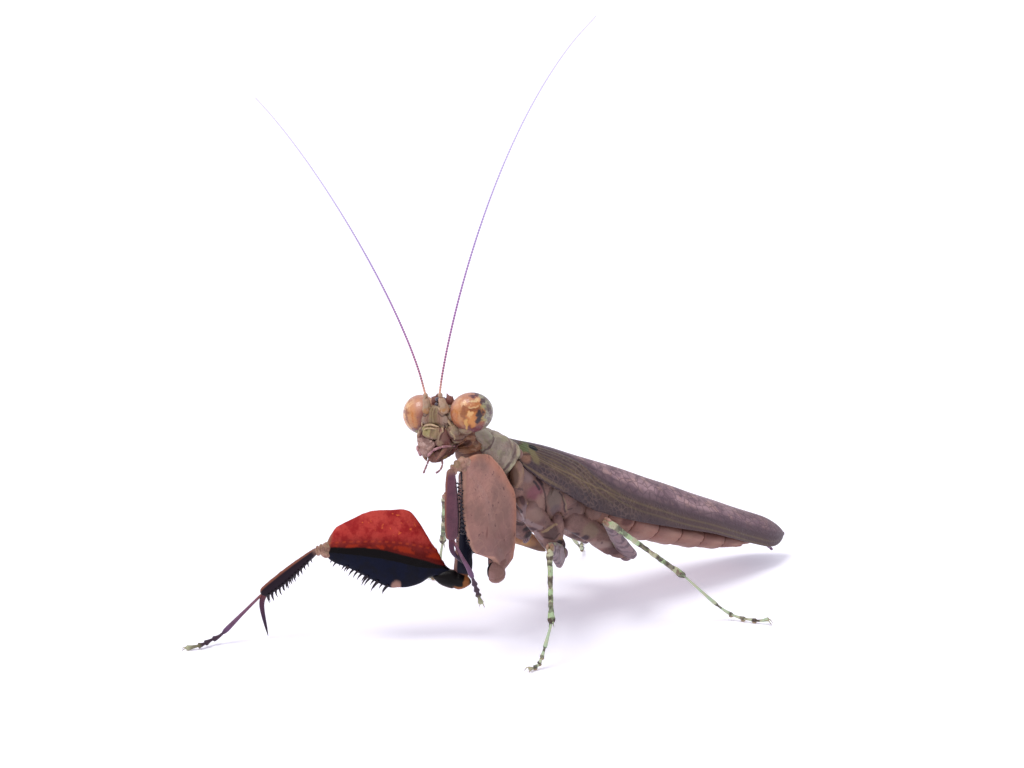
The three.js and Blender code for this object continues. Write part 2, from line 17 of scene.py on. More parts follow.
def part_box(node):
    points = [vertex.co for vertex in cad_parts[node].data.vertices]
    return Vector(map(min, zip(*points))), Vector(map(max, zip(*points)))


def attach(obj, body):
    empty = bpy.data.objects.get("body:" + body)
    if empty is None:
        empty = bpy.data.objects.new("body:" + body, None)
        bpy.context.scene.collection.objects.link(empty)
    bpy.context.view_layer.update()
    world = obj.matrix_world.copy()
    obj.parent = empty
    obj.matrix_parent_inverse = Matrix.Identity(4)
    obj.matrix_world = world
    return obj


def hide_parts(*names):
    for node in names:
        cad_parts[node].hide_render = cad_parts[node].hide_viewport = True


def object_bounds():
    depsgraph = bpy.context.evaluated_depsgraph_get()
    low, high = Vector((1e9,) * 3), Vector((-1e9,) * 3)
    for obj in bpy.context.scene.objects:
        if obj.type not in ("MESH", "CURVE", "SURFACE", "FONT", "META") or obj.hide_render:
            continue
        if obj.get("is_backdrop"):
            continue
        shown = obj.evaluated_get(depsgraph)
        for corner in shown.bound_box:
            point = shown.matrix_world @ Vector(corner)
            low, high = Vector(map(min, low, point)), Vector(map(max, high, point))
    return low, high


bl_info = {
    "name": "Boxer Mantis", "version": (1, 0, 0), "blender": (4, 5, 0),
    "location": "View3D > Sidebar > Mantis",
    "description": "Dresses the frame of a boxer mantis in detailed shell plates, eyes and wings",
    "category": "Object",
}

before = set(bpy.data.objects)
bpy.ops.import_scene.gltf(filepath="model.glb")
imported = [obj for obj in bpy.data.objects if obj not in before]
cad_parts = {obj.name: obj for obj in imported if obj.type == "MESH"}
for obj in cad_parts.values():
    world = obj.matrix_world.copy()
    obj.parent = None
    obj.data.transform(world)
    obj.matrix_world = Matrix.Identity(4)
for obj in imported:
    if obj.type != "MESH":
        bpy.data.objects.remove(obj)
CAD_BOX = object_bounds()

# ---------------------------------------------------------------- measures and frames

MM = 0.001
SIDES = {"left": 1, "right": -1}
UP = Vector((0, 0, 1))

# The trunk's frame: its origin is on the back where the wings begin.
BACK = Vector((0, -1.94, 10.32))
PITCH = math.radians(24)

# The head's frame: its origin is on the face, midway between the feelers' sockets.
FACE = Vector((0.3, -6.86, 12.6))
HEAD_WAY = Matrix.Rotation(math.radians(20), 3, "Z") @ Matrix.Rotation(math.radians(-9), 3, "Y")
EYE = {"across": 1.64, "behind": 0.8, "rise": -0.22, "splay": 0.61}

WING_LENGTH = 21.6
ABDOMEN = {"start": 5.1, "end": 17.9, "rings": 7}

# Along the wing: its half width, how far it droops to the front edge and how high it arches.
WING_HALF = ((0, 1.3), (0.07, 2.0), (0.15, 2.25), (0.3, 2.3), (0.5, 2.2), (0.7, 2.0), (0.85, 1.6), (1, 1.2))
WING_DROOP = (
    (0, 1.0), (0.08, 1.6), (0.15, 1.82), (0.24, 2.15), (0.33, 2.1), (0.44, 1.88), (0.54, 1.66),
    (0.65, 1.42), (0.76, 1.28), (0.9, 1.16), (1, 1.0),
)
WING_ARCH = ((0, 0), (0.15, 0.25), (0.45, 0.35), (0.7, 0.35), (1, 0.42))

# Lines on the wing: how far out each is, as a share of the half width.
FOLD_LINE = ((0, 0.1), (0.17, 0.27), (0.26, 0.52), (0.37, 0.66), (0.48, 0.71), (0.62, 0.75), (1, 0.78))
MAIN_VEIN = (
    (0, 0.6), (0.06, 0.66), (0.17, 0.73), (0.27, 0.755), (0.35, 0.79), (0.44, 0.82), (0.62, 0.93),
    (1, 0.99),
)

# The fore femur's outline, and the borders of the colours on its inner face, above its middle line.
DOT_ROW = ((0, 1.05), (0.18, 1.21), (0.37, 1.21), (0.48, 1.16), (0.6, 1.04), (0.735, 0.84), (1, 0.35))
RED_EDGE = (
    (0, 0.42), (0.13, 0.48), (0.23, 0.55), (0.35, 0.58), (0.58, 0.62), (0.7, 0.56), (0.81, 0.4),
    (0.94, 0.2), (1, 0.06),
)
BLUE_EDGE = (
    (0, 0.3), (0.11, 0.28), (0.22, 0.2), (0.34, 0.15), (0.57, 0.18), (0.69, 0.13), (0.8, 0.03),
    (0.93, -0.07), (1, -0.1),
)

# Joints of the legs, hip to toe.
LEGS = {
    "fore_left": {
        "hip": (1.1, -3.9, 9.3), "trochanter": (2.15, -4.3, 3.85), "knee": (2.8, -6.9, 10.5),
        "shin": (3.0, -7.75, 10.35), "ankle": (3.07, -7.75, 6.6), "heel": (3.3, -6.77, 4.65), "sole": (),
        "toe": (2.85, -5.85, 2.75), "femur_back": (-0.25, 0.91, 0.34), "tibia_back": (0.2, -0.95, 0),
        "claw_tip": (2.95, -7.25, 5.3),
    },
    "fore_right": {
        "hip": (-0.9, -3.9, 8.8), "trochanter": (0.44, -5.42, 3.3), "knee": (-3.6, -11.4, 4.95),
        "shin": (-3.8, -11.7, 4.95), "ankle": (-5.55, -14.2, 2.45), "heel": (-6.08, -16.38, 0.5),
        "sole": ((-6.15, -16.94, 0.3), (-6.04, -17.58, 0.2)), "toe": (-6.34, -18.3, 0.1),
        "femur_back": (-0.2, 0.14, 0.97), "tibia_back": (-0.3, -0.25, 0.9),
        "claw_tip": (-5.45, -14.05, 0.55),
    },
    "mid_left": {
        "hip": (1.65, 0.2, 3.95), "knee": (4.9, -2.95, 5.75), "ankle": (6.25, -3.8, 2.2),
        "heel": (6.4, -4.55, 0.5), "toe": (6.45, -5.35, 0.16),
    },
    "mid_right": {
        "hip": (-1.65, 0.2, 3.95), "knee": (-5.5, -2.6, 5.9), "ankle": (-7.1, -1.75, 2.5),
        "heel": (-7.75, -1.7, 0.5), "toe": (-8.5, -1.95, 0.16),
    },
    "hind_left": {
        "hip": (1.8, 4.55, 3.05), "knee": (4.8, 0.8, 6.5), "ankle": (5.6, 5.6, 2.65),
        "heel": (6.6, 7.75, 0.5), "toe": (8.15, 9.0, 0.16),
    },
}


def as_vectors(place):
    """A place, or each place in a row of places, as a vector."""
    if place and not isinstance(place[0], tuple):
        return Vector(place)
    return tuple(as_vectors(one) for one in place)


LEGS = {name: {joint: as_vectors(place) for joint, place in leg.items()} for name, leg in LEGS.items()}
LEGS["hind_right"] = {joint: place * Vector((-1, 1, 1)) for joint, place in LEGS["hind_left"].items()}


FEMUR_SHAPES = {
    "left": (
        (
            (0, 1.25), (0.09, 1.7), (0.22, 2.19), (0.36, 2.6), (0.48, 2.79), (0.58, 2.66), (0.71, 2.42),
            (0.8, 2.17), (0.89, 1.82), (0.96, 1.15), (1, 0.5),
        ),
        (
            (0, 0.05), (0.13, 0.08), (0.22, 0.55), (0.3, 1.07), (0.39, 1.23), (0.52, 1.18), (0.68, 0.95),
            (0.82, 0.52), (0.94, 0.2), (1, 0.1),
        ),
    ),
    "right": (
        (
            (0, 0.25), (0.07, 0.5), (0.13, 0.97), (0.23, 1.64), (0.34, 2.4), (0.41, 2.8), (0.48, 2.9),
            (0.61, 2.69), (0.75, 2.33), (0.87, 1.7), (0.95, 1.25), (0.98, 0.8), (1, 0.5),
        ),
        (
            (0, 0.12), (0.1, 0.12), (0.17, 0.25), (0.23, 0.66), (0.29, 0.93), (0.38, 1.12), (0.44, 1.23),
            (0.53, 1.13), (0.7, 0.83), (0.82, 0.63), (0.94, 0.45), (1, 0.15),
        ),
    ),
}


WING_ROOT_MARKS = (
    ("4c5436", 0.85, (-2.72, 9.8), (0.26, 0.32)), ("58633c", 0.85, (-1.65, 9.93), (0.45, 0.2)),
    ("5d6647", 0.6, (-1.25, 9.9), (0.3, 0.35)), ("7a6c4c", 0.7, (-1.22, 9.5), (0.22, 0.4)),
    ("946a54", 0.65, (-1.85, 9.5), (0.36, 0.26)), ("7c767a", 0.5, (-2.2, 10.25), (0.35, 0.1)),
)


def trunk(x, s, h):
    """A place on the trunk: x to its left, s tailwards along the back, h above the back."""
    along = s * math.cos(PITCH) + h * math.sin(PITCH)
    rise = h * math.cos(PITCH) - s * math.sin(PITCH)
    return BACK + Vector((x, along, rise))


TRUNK_UP = Vector((0, math.sin(PITCH), math.cos(PITCH)))


def head_way(left, forward, up):
    """A direction on the head."""
    return (HEAD_WAY @ Vector((left, -forward, up))).normalized()


def on_head(left, forward, up):
    """A place on the head: left, forward and up from the middle of the face."""
    return FACE + HEAD_WAY @ Vector((left, -forward, up))


def shift_to_frame():
    """From the standing animal's place to the frame's own, through the middle of the eyes."""
    boxes = [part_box(f"eye_{side}") for side in SIDES]
    middle = sum((low + high for low, high in boxes), Vector()) / 4
    return middle / MM - on_head(0, -EYE["behind"], EYE["rise"])


SHIFT = shift_to_frame()


# ---------------------------------------------------------------- curves and profiles


def profile(*stations):
    """A smooth value along a part, through (share of its length, value) stations."""
    last = len(stations) - 1

    def slope(i):
        before, after = stations[max(i - 1, 0)], stations[min(i + 1, last)]
        return (after[1] - before[1]) / (after[0] - before[0])

    def value(t):
        i = 0
        while i < last - 1 and t > stations[i + 1][0]:
            i += 1
        span = stations[i + 1][0] - stations[i][0]
        k = min(1.0, max(0.0, (t - stations[i][0]) / span))
        bend = slope(i) * span * k * (1 - k) ** 2 - slope(i + 1) * span * k * k * (1 - k)
        ease = k * k * (3 - 2 * k)
        return stations[i][1] * (1 - ease) + stations[i + 1][1] * ease + bend

    return value


def as_profile(size):
    """A profile from a profile, a tuple of stations or a plain number."""
    if callable(size):
        return size
    if isinstance(size, (tuple, list)):
        return profile(*size)
    return lambda t: size


def bump(t, middle, width):
    """A smooth hump of height 1 at the middle."""
    return math.exp(-(((t - middle) / width) ** 2))


class Path:
    """A smooth curve through points, measured by its length."""

    PIECES = 24

    def __init__(self, *points):
        ends = [points[0] * 2 - points[1], *points, points[-1] * 2 - points[-2]]
        self.places = []
        for i in range(1, len(ends) - 2):
            steps = self.PIECES + (1 if i == len(ends) - 3 else 0)
            for k in range(steps):
                self.places.append(self.between(ends[i - 1 : i + 3], k / self.PIECES))
        self.reach = [0.0]
        for before, after in zip(self.places, self.places[1:]):
            self.reach.append(self.reach[-1] + (after - before).length)
        self.length = self.reach[-1]

    @staticmethod
    def between(four, k):
        """A place between the middle two of four points."""
        a, b, c, d = four
        turn = (c - a) * k + (2 * a - 5 * b + 4 * c - d) * k**2 + (3 * b - a - 3 * c + d) * k**3
        return b + turn * 0.5

    def at(self, t):
        goal = min(max(t, 0.0), 1.0) * self.length
        i = 0
        while i < len(self.reach) - 2 and self.reach[i + 1] < goal:
            i += 1
        span = self.reach[i + 1] - self.reach[i]
        return self.places[i].lerp(self.places[i + 1], (goal - self.reach[i]) / span)

    def ahead(self, t):
        return (self.at(min(t + 0.01, 1.0)) - self.at(max(t - 0.01, 0.0))).normalized()

    def frame(self, t, facing):
        """The way ahead, the way that faces up and the way across, at a share of the length."""
        ahead = self.ahead(t)
        rise = (facing - ahead * facing.dot(ahead)).normalized()
        return ahead, rise, ahead.cross(rise)


# ---------------------------------------------------------------- shapes
# Every shape keeps, in its "lay" attribute, where on the part each point is: across it, up it
# and along it. Finishes follow the part by that.


def new_shape():
    shape = bmesh.new()
    shape.verts.layers.float_vector.new("lay")
    return shape


def lay_of(shape):
    return shape.verts.layers.float_vector["lay"]


def give_coat(verts, coat):
    """Mark the faces of some points with the number of their finish."""
    if coat:
        for vert in verts:
            for face in vert.link_faces:
                face.material_index = coat


def sweep(shape, path, facing, up, down=None, side=None, sides=24, steps=24, square=1.0,
          blunt=(0.0, 0.0), part=(0.0, 1.0), relief=None, inner=1, sized=False, coat=0, crowd=True):
    """A closed body along a path.

    up, down and side are its half sizes across the path, and facing is the way that up points.
    A square under 1 fills out the corners of its section, blunt rounds off that share of its
    length at each end, and relief(across, rise, t) raises its surface. sized keeps the height
    in millimetres in the lay, and inner is -1 where the inner side is the other one.
    """
    up = as_profile(up)
    down = as_profile(down) if down is not None else up
    side = as_profile(side) if side is not None else up
    lay = lay_of(shape)

    def full(share):
        return math.copysign(abs(share) ** square, share)

    def ending(k):
        sizes = [1.0]
        for share, length in ((k, blunt[0]), (1 - k, blunt[1])):
            if length and share < length:
                sizes.append(math.sqrt(max(0.0, 1 - (1 - share / length) ** 2)))
        return max(min(sizes), 0.03)

    def set_ring(ring, marks, k):
        t = part[0] + (part[1] - part[0]) * k
        middle = path.at(t)
        _, rise, across = path.frame(t, facing)
        size = ending(k)
        for vert, (x, y) in zip(ring, marks):
            high = (up(t) if y > 0 else down(t)) * size
            wide = side(t) * size
            out = relief(x, y, t) if relief else 0.0
            vert.co = middle + rise * (full(y) * high + y * out) + across * (full(x) * wide + x * out)
            vert[lay] = (x * inner, full(y) * high if sized else y, t)

    def share_of(step):
        k = step / steps
        return 0.5 - 0.5 * math.cos(math.pi * k) if crowd else k

    ring = bmesh.ops.create_circle(shape, cap_ends=True, radius=1, segments=sides)["verts"]
    marks = [(vert.co.x, vert.co.y) for vert in ring]
    edges = list({edge for vert in ring for edge in vert.link_edges})
    set_ring(ring, marks, 0.0)
    every = list(ring)
    for step in range(1, steps + 1):
        ring = bmesh.ops.create_circle(shape, radius=1, segments=sides)["verts"]
        more = list({edge for vert in ring for edge in vert.link_edges})
        set_ring(ring, marks, share_of(step))
        bmesh.ops.bridge_loops(shape, edges=edges + more)
        edges = more
        every += ring
    bmesh.ops.edgeloop_fill(shape, edges=edges)
    give_coat(every, coat)
    return every


def egg(shape, centre, axes, sizes, fine=4, warp=None, coat=0):
    """An egg shape with three half sizes along three directions."""
    made = bmesh.ops.create_icosphere(shape, subdivisions=fine, radius=1)["verts"]
    lay = lay_of(shape)
    for vert in made:
        vert[lay] = vert.co
        place = warp(vert.co.copy()) if warp else vert.co.copy()
        steps = (axis * share * size for axis, share, size in zip(axes, place, sizes))
        vert.co = sum(steps, centre.copy())
    give_coat(made, coat)
    return made


def thorn(shape, root, tip, radius, bow=None, sides=8, steps=6, coat=0):
    """A pointed spine, bowed by the given offset at its middle."""
    middle = root.lerp(tip, 0.5) + (bow or Vector())
    ahead = (tip - root).normalized()
    facing = UP if abs(ahead.z) < 0.9 else Vector((0, -1, 0))
    widths = ((0, radius), (0.5, radius * 0.62), (1, radius * 0.06))
    sweep(shape, Path(root, middle, tip), facing, widths, sides=sides, steps=steps, coat=coat)


def limb(shape, points, widths, facing=None, **extra):
    """A round limb through some points, with the given half widths along it."""
    ahead = (points[-1] - points[0]).normalized()
    if facing is None:
        facing = Vector((0, -1, 0)) if abs(ahead.z) > 0.8 else UP
    sweep(shape, Path(*points), facing, widths, **extra)


def comb(shape, path, facing, edge, span, lengths, lean, radius, coat=0, sway=0.0):
    """A row of spines on the side of a limb that faces away, one for each length."""
    for i, long in enumerate(lengths):
        t = span[0] + (span[1] - span[0]) * i / (len(lengths) - 1)
        ahead, rise, across = path.frame(t, facing)
        root = path.at(t) - rise * (edge(t) - 0.08) + across * sway
        way = (ahead * lean - rise + across * sway).normalized()
        tip = root + way * (long + 0.08)
        thorn(shape, root, tip, radius * (0.6 + 0.4 * long / max(lengths)), ahead * 0.04, coat=coat)


def rough(place, scale, seed=0.0):
    """Smooth noise from -1 to 1 at a place in millimetres."""
    return noise.noise(place * scale + Vector((seed, seed * 1.7, -seed)))


def finish_piece(shape, name, coats, nodes=()):
    """Take a shape from the standing animal's millimetres into the frame and dress it."""
    place = Matrix.Scale(MM, 4) @ Matrix.Translation(SHIFT)
    bmesh.ops.transform(shape, matrix=place, verts=shape.verts)
    bmesh.ops.recalc_face_normals(shape, faces=shape.faces)
    mesh = bpy.data.meshes.new(name)
    shape.to_mesh(mesh)
    shape.free()
    mesh.shade_smooth()
    for coat in coats:
        mesh.materials.append(coat)
    piece = bpy.data.objects.new(name, mesh)
    bpy.context.collection.objects.link(piece)
    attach(piece, "root")
    if nodes:
        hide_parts(*nodes)
    return piece


# ---------------------------------------------------------------- colours and sizes to change


def web(text):
    """A colour's three linear numbers from its six-digit web form."""
    shares = [int(text[i : i + 2], 16) / 255 for i in (0, 2, 4)]
    return tuple(c / 12.92 if c <= 0.04045 else ((c + 0.055) / 1.055) ** 2.4 for c in shares)


def colour(name, description, text):
    return FloatVectorProperty(
        name=name, description=description, default=web(text), subtype="COLOR", size=3, min=0, max=1,
    )


def size(name, description, millimetres):
    return FloatProperty(
        name=name, description=description, default=millimetres * MM, unit="LENGTH", min=0.0, precision=5,
    )


def number(name, description, default):
    return IntProperty(name=name, description=description, default=default, min=1)


class MANTIS_PG_colours(PropertyGroup):
    eye: colour("Eye", "Amber of the eyes", "bd7538")
    eye_pale: colour("Eye, pale", "Pale blotches on the eyes", "efc08a")
    eye_brown: colour("Eye, brown", "Brown blotches on the eyes", "93513a")
    eye_rear: colour("Eye, rear", "Grey-green rear half of the eyes", "a29c84")
    head: colour("Head", "Olive brown of the head", "9a8368")
    head_green: colour("Head, green", "Green of the face plates and cheeks", "8c8a5e")
    head_rim: colour("Head, rim", "Pale ridges of the face", "c9ac8a")
    jaw: colour("Jaws", "Red-brown of the jaws", "86594f")
    mouth: colour("Mouth", "Purple-brown of the palps and lip", "6c4540")
    feeler: colour("Feeler", "Peach of the feelers' base", "e0a989")
    feeler_ring: colour("Feeler, rings", "Magenta rings of the feelers", "7d4d68")
    feeler_tip: colour("Feeler, tip", "Lavender of the feelers' tips", "e6e0f2")
    shield: colour("Neck shield", "Grey-olive of the neck shield", "a59585")
    shield_rim: colour("Neck shield, rim", "Pale green rim of the neck shield", "bdb489")
    thorax: colour("Thorax", "Pinkish brown of the thorax", "a27c70")
    thorax_dark: colour("Thorax, dark", "Purple-brown seams and spots", "4e3436")
    wing: colour("Wing", "Olive brown of the wings' sides", "58433c")
    wing_back: colour("Wing, back", "Pinkish cells of the wings' back", "a98a90")
    wing_net: colour("Wing, net", "Purple-brown net of fine veins", "4d3b44")
    wing_vein: colour("Wing, vein", "Yellow-green main veins", "a3945c")
    abdomen: colour("Abdomen", "Salmon brown of the abdomen", "ad7f70")
    femur: colour("Fore femur", "Pinkish brown outer face of the fore femur", "a87c70")
    femur_edge: colour("Fore femur, edge", "Orange tint of the fore femur's edges", "bd7f66")
    femur_red: colour("Fore femur, red", "Red inner face of the fore femur", "a82a26")
    # Orange specks of the red field: partly real, partly a painted glow of light shining through the red
    # shell.
    femur_glow: colour("Fore femur, orange", "Orange specks of the red field", "dd6a35")
    femur_black: colour("Fore femur, black", "Glossy black band of the inner face", "0b0608")
    femur_blue: colour("Fore femur, blue", "Blue-black lower field of the inner face", "0a0e24")
    tibia: colour("Fore tibia", "Purple-brown outer face of the fore tibia", "80555f")
    tibia_dark: colour("Fore tibia, dark", "Dark inner face and comb of the fore tibia", "20141f")
    joint: colour("Joints", "Tan and orange of the foreleg's joints", "c38c62")
    leg_green: colour("Leg, green", "Green of the walking legs", "a5ba8a")
    leg_dark: colour("Leg, dark", "Dark bands of the walking legs", "402b2c")
    leg_grey: colour("Leg, grey", "Grey-purple of the thigh blades", "8c7274")
    floor: colour("Floor", "Plain floor", "f4f3f8")


class MANTIS_PG_sizes(PropertyGroup):
    wing_thick: size("Wing thickness", "Thickness of the dressed wings", 0.12)
    feeler_base: size("Feeler base", "Half width of a feeler at its base", 0.058)
    feeler_tip: size("Feeler tip", "Half width of a feeler at its tip", 0.035)
    shin: size("Shin", "Half width of the walking legs' shins", 0.14)
    foot: size("Foot", "Half width of the walking feet", 0.115)
    spine: size("Spine", "Radius of the longest spines at the root", 0.085)
    feeler_rings: number("Feeler rings", "Rings in each half of a feeler", 72)
    femur_spines: number("Femur spines", "Spines along the lower edge of the fore femur", 14)
    tibia_spines: number("Tibia spines", "Spines in the comb of the fore tibia", 13)


def looks(name):
    """A colour from the panel, or from its web form."""
    panel = bpy.context.scene.mantis_colours
    return tuple(getattr(panel, name)) if hasattr(panel, name) else web(name)


def measure(name):
    """A size from the panel, in millimetres."""
    return getattr(bpy.context.scene.mantis_sizes, name) / MM


def count(name):
    """A number from the panel."""
    return getattr(bpy.context.scene.mantis_sizes, name)


# ---------------------------------------------------------------- finishes


class Graph:
    """Adds nodes to a material or a group, and wires them."""

    def __init__(self, tree):
        self.tree = tree

    def feed(self, socket, value):
        value = looks(value) if isinstance(value, str) else value
        if isinstance(value, bpy.types.NodeSocket):
            self.tree.links.new(value, socket)
        elif socket.type == "RGBA":
            socket.default_value = (*value[:3], 1)
        else:
            socket.default_value = value

    def node(self, kind, values=None, **settings):
        made = self.tree.nodes.new(kind)
        for key, value in settings.items():
            setattr(made, key, value)
        for key, value in (values or {}).items():
            self.feed(made.inputs[key], value)
        return made

    def math(self, operation, *values):
        made = self.node("ShaderNodeMath", operation=operation)
        for socket, value in zip(made.inputs, values):
            self.feed(socket, value)
        return made.outputs[0]

    def mix(self, share, first, second, blend="MIX"):
        values = {0: share, 6: first, 7: second}
        return self.node("ShaderNodeMix", values, data_type="RGBA", blend_type=blend).outputs[2]

    def over(self, under, tint, *shares):
        """A colour laid over another, as thick as all the shares together."""
        return self.mix(self.both(*shares), under, tint)

    def layers(self, shade, *coats):
        """Colours laid over a shade in turn: (colour, *shares)."""
        for coat in coats:
            shade = self.over(shade, *coat)
        return shade

    def step(self, value, low, high):
        """0 under low, 1 over high, and smooth between."""
        values = {"Value": value, "From Min": low, "From Max": high}
        made = self.node("ShaderNodeMapRange", values, interpolation_type="SMOOTHSTEP")
        return made.outputs["Result"]

    def parts(self, place):
        """The three parts of a place."""
        return self.node("ShaderNodeSeparateXYZ", {0: place}).outputs

    def joined(self, *parts):
        """A place from its parts."""
        return self.node("ShaderNodeCombineXYZ", dict(enumerate(parts))).outputs[0]

    def fall(self, value, low, high):
        """1 under low, 0 over high."""
        return self.inverse(self.step(value, low, high))

    def inverse(self, share):
        return self.math("SUBTRACT", 1.0, share)

    def minus(self, value):
        return self.math("MULTIPLY", value, -1.0)

    def scaled(self, value, factor, offset):
        return self.math("MULTIPLY_ADD", value, factor, offset)

    def repeat(self, value, times):
        """A saw tooth from 0 to 1, so many times along a value."""
        return self.math("FRACT", self.math("MULTIPLY", value, times))

    def blots(self, low, high, *scale, **more):
        """Blots of noise: 0 where it is under low, 1 over high."""
        return self.step(self.noise(*scale, **more), low, high)

    def band(self, value, middle, half, soft):
        """1 within half of the middle, falling to 0 over soft on both sides."""
        away = self.math("ABSOLUTE", self.math("SUBTRACT", value, middle))
        return self.fall(away, half, half + soft)

    def both(self, *shares):
        result = shares[0]
        for share in shares[1:]:
            result = self.math("MULTIPLY", result, share)
        return result

    def either(self, *shares):
        result = shares[0]
        for share in shares[1:]:
            result = self.math("MAXIMUM", result, share)
        return result

    def millimetres(self):
        """The point's place on the object, in millimetres."""
        place = self.node("ShaderNodeTexCoord").outputs["Object"]
        made = self.node("ShaderNodeVectorMath", {0: place}, operation="SCALE")
        made.inputs["Scale"].default_value = 1 / MM
        return made.outputs[0]

    def mark(self):
        return self.node("ShaderNodeAttribute", attribute_name="lay").outputs["Vector"]

    def lay(self):
        """Across, up and along: where on its part the point is."""
        return self.parts(self.mark())

    def standing(self):
        """The point's place on the standing animal, in millimetres."""
        return self.arrow("SUBTRACT", self.millimetres(), tuple(SHIFT))[0]

    def arrow(self, operation, first, second=None):
        values = {0: first} if second is None else {0: first, 1: second}
        return self.node("ShaderNodeVectorMath", values, operation=operation).outputs

    def spot(self, place, middle, reach, soft=0.25):
        """1 inside an egg-shaped spot, falling to 0 outside it."""
        away = self.arrow("DIVIDE", self.arrow("SUBTRACT", place, middle)[0], reach)[0]
        far = self.arrow("LENGTH", away)["Value"]
        return self.fall(far, 1 - soft, 1 + soft)

    def stroke(self, place, start, end, half):
        """1 along a line between two flat places, falling to 0 beside it."""
        way = (end[0] - start[0], end[1] - start[1], 0)
        place = self.arrow("SUBTRACT", place, (*start, 0))[0]
        share = self.math(
            "DIVIDE", self.arrow("DOT_PRODUCT", place, way)["Value"], way[0] ** 2 + way[1] ** 2,
        )
        share = self.math("MINIMUM", self.math("MAXIMUM", share, 0.0), 1.0)
        near = self.node("ShaderNodeVectorMath", {0: way, "Scale": share}, operation="SCALE").outputs[0]
        far = self.arrow("LENGTH", self.arrow("SUBTRACT", place, near)[0])["Value"]
        return self.fall(far, half * 0.6, half * 1.8)

    def on_face(self):
        """How far a point is from the middle line of the head, and how high."""
        place = self.arrow("SUBTRACT", self.standing(), tuple(FACE))[0]
        left = self.arrow("DOT_PRODUCT", place, tuple(head_way(1, 0, 0)))["Value"]
        high = self.arrow("DOT_PRODUCT", place, tuple(head_way(0, 0, 1)))["Value"]
        place = {0: self.math("ABSOLUTE", left), 1: high}
        return self.node("ShaderNodeCombineXYZ", place).outputs[0]

    def shaken(self, place, scale, reach, detail=3.0):
        """A place moved a little to and fro, for uneven borders."""
        values = {"Vector": self.millimetres(), "Scale": scale, "Detail": detail}
        swing = self.node("ShaderNodeTexNoise", values).outputs["Color"]
        swing = self.arrow("SUBTRACT", swing, (0.5, 0.5, 0.5))[0]
        swing = self.arrow("MULTIPLY", swing, (2 * reach,) * 3)[0]
        return self.arrow("ADD", place, swing)[0]

    def noise(self, scale, detail=3.0, place=None, roughness=0.55, stretch=None):
        place = place or self.millimetres()
        if stretch:
            place = self.node("ShaderNodeVectorMath", {0: place, 1: stretch}, operation="MULTIPLY")
            place = place.outputs[0]
        values = {"Vector": place, "Scale": scale, "Detail": detail, "Roughness": roughness}
        return self.node("ShaderNodeTexNoise", values).outputs["Fac"]

    def cells(self, scale, place=None, feature="F1", randomness=1.0):
        values = {"Vector": place or self.millimetres(), "Scale": scale, "Randomness": randomness}
        return self.node("ShaderNodeTexVoronoi", values, feature=feature).outputs["Distance"]

    def course(self, value, *stations):
        """A smooth function of a share from 0 to 1, through (share, height) stations."""
        low = min(height for _, height in stations)
        reach = max(height for _, height in stations) - low or 1.0
        made = self.node("ShaderNodeFloatCurve", {"Value": value})
        points = made.mapping.curves[0].points
        for i, (share, height) in enumerate(stations):
            if i < 2:
                points[i].location = (share, (height - low) / reach)
            else:
                points.new(share, (height - low) / reach)
        made.mapping.update()
        return self.scaled(made.outputs[0], reach, low)

    def ramp(self, value, *stops):
        """Colours along a value, through (place, colour) stops."""
        made = self.node("ShaderNodeValToRGB", {0: value})
        elements = made.color_ramp.elements
        for i, (place, shade) in enumerate(stops):
            stop = elements[i] if i < 2 else elements.new(place)
            stop.position = place
            stop.color = (*looks(shade), 1)
        return made.outputs[0]


def once(build):
    """Build a material or a node group the first time that it is asked for."""
    kept = []

    def get():
        if not kept:
            kept.append(build())
        return kept[0]

    return get


def new_group(name, takes, gives):
    """An empty node group with named sockets: takes are (name, type, default)."""
    tree = bpy.data.node_groups.new(name, "ShaderNodeTree")
    for label, kind, default in takes:
        socket = tree.interface.new_socket(label, in_out="INPUT", socket_type=kind)
        socket.default_value = default
    for label, kind in gives:
        tree.interface.new_socket(label, in_out="OUTPUT", socket_type=kind)
    graph = Graph(tree)
    return graph, graph.node("NodeGroupInput").outputs, graph.node("NodeGroupOutput").inputs


@once
def cuticle_group():
    """Insect shell: a patchy colour, dark freckles, a fine grain and its height."""
    white = (0.5, 0.5, 0.5, 1)
    graph, takes, gives = new_group(
        "cuticle",
        [
            ("Colour", "NodeSocketColor", white), ("Second", "NodeSocketColor", white),
            ("Dark", "NodeSocketColor", white), ("Patches", "NodeSocketFloat", 1.0),
            ("Freckles", "NodeSocketFloat", 0.5), ("Grain", "NodeSocketFloat", 0.5),
        ],
        [("Colour", "NodeSocketColor"), ("Roughness", "NodeSocketFloat"), ("Height", "NodeSocketFloat")],
    )
    place = graph.millimetres()
    broad = graph.noise(takes["Patches"], 4, place)
    fine = graph.noise(graph.math("MULTIPLY", takes["Patches"], 5.0), 4, place, 0.65)
    grain = graph.noise(26.0, 2, place)
    pits = graph.cells(11.0, place)
    shade = graph.mix(graph.step(broad, 0.38, 0.62), takes["Colour"], takes["Second"])
    freckle = graph.both(graph.step(fine, 0.54, 0.72), takes["Freckles"])
    shade = graph.mix(freckle, shade, takes["Dark"])
    light = graph.scaled(graph.math("SUBTRACT", fine, 0.5), 0.55, 1.0)
    light = graph.scaled(graph.math("SUBTRACT", grain, 0.5), 0.35, light)
    lit = graph.node("ShaderNodeVectorMath", {0: shade}, operation="SCALE")
    graph.feed(lit.inputs["Scale"], light)
    graph.feed(gives["Colour"], lit.outputs[0])
    graph.feed(gives["Roughness"], graph.scaled(fine, 0.3, -0.15))
    relief = graph.scaled(graph.step(pits, 0.0, 0.5), 0.5, fine)
    relief = graph.scaled(grain, 0.35, relief)
    graph.feed(gives["Height"], graph.both(relief, takes["Grain"]))
    return graph.tree


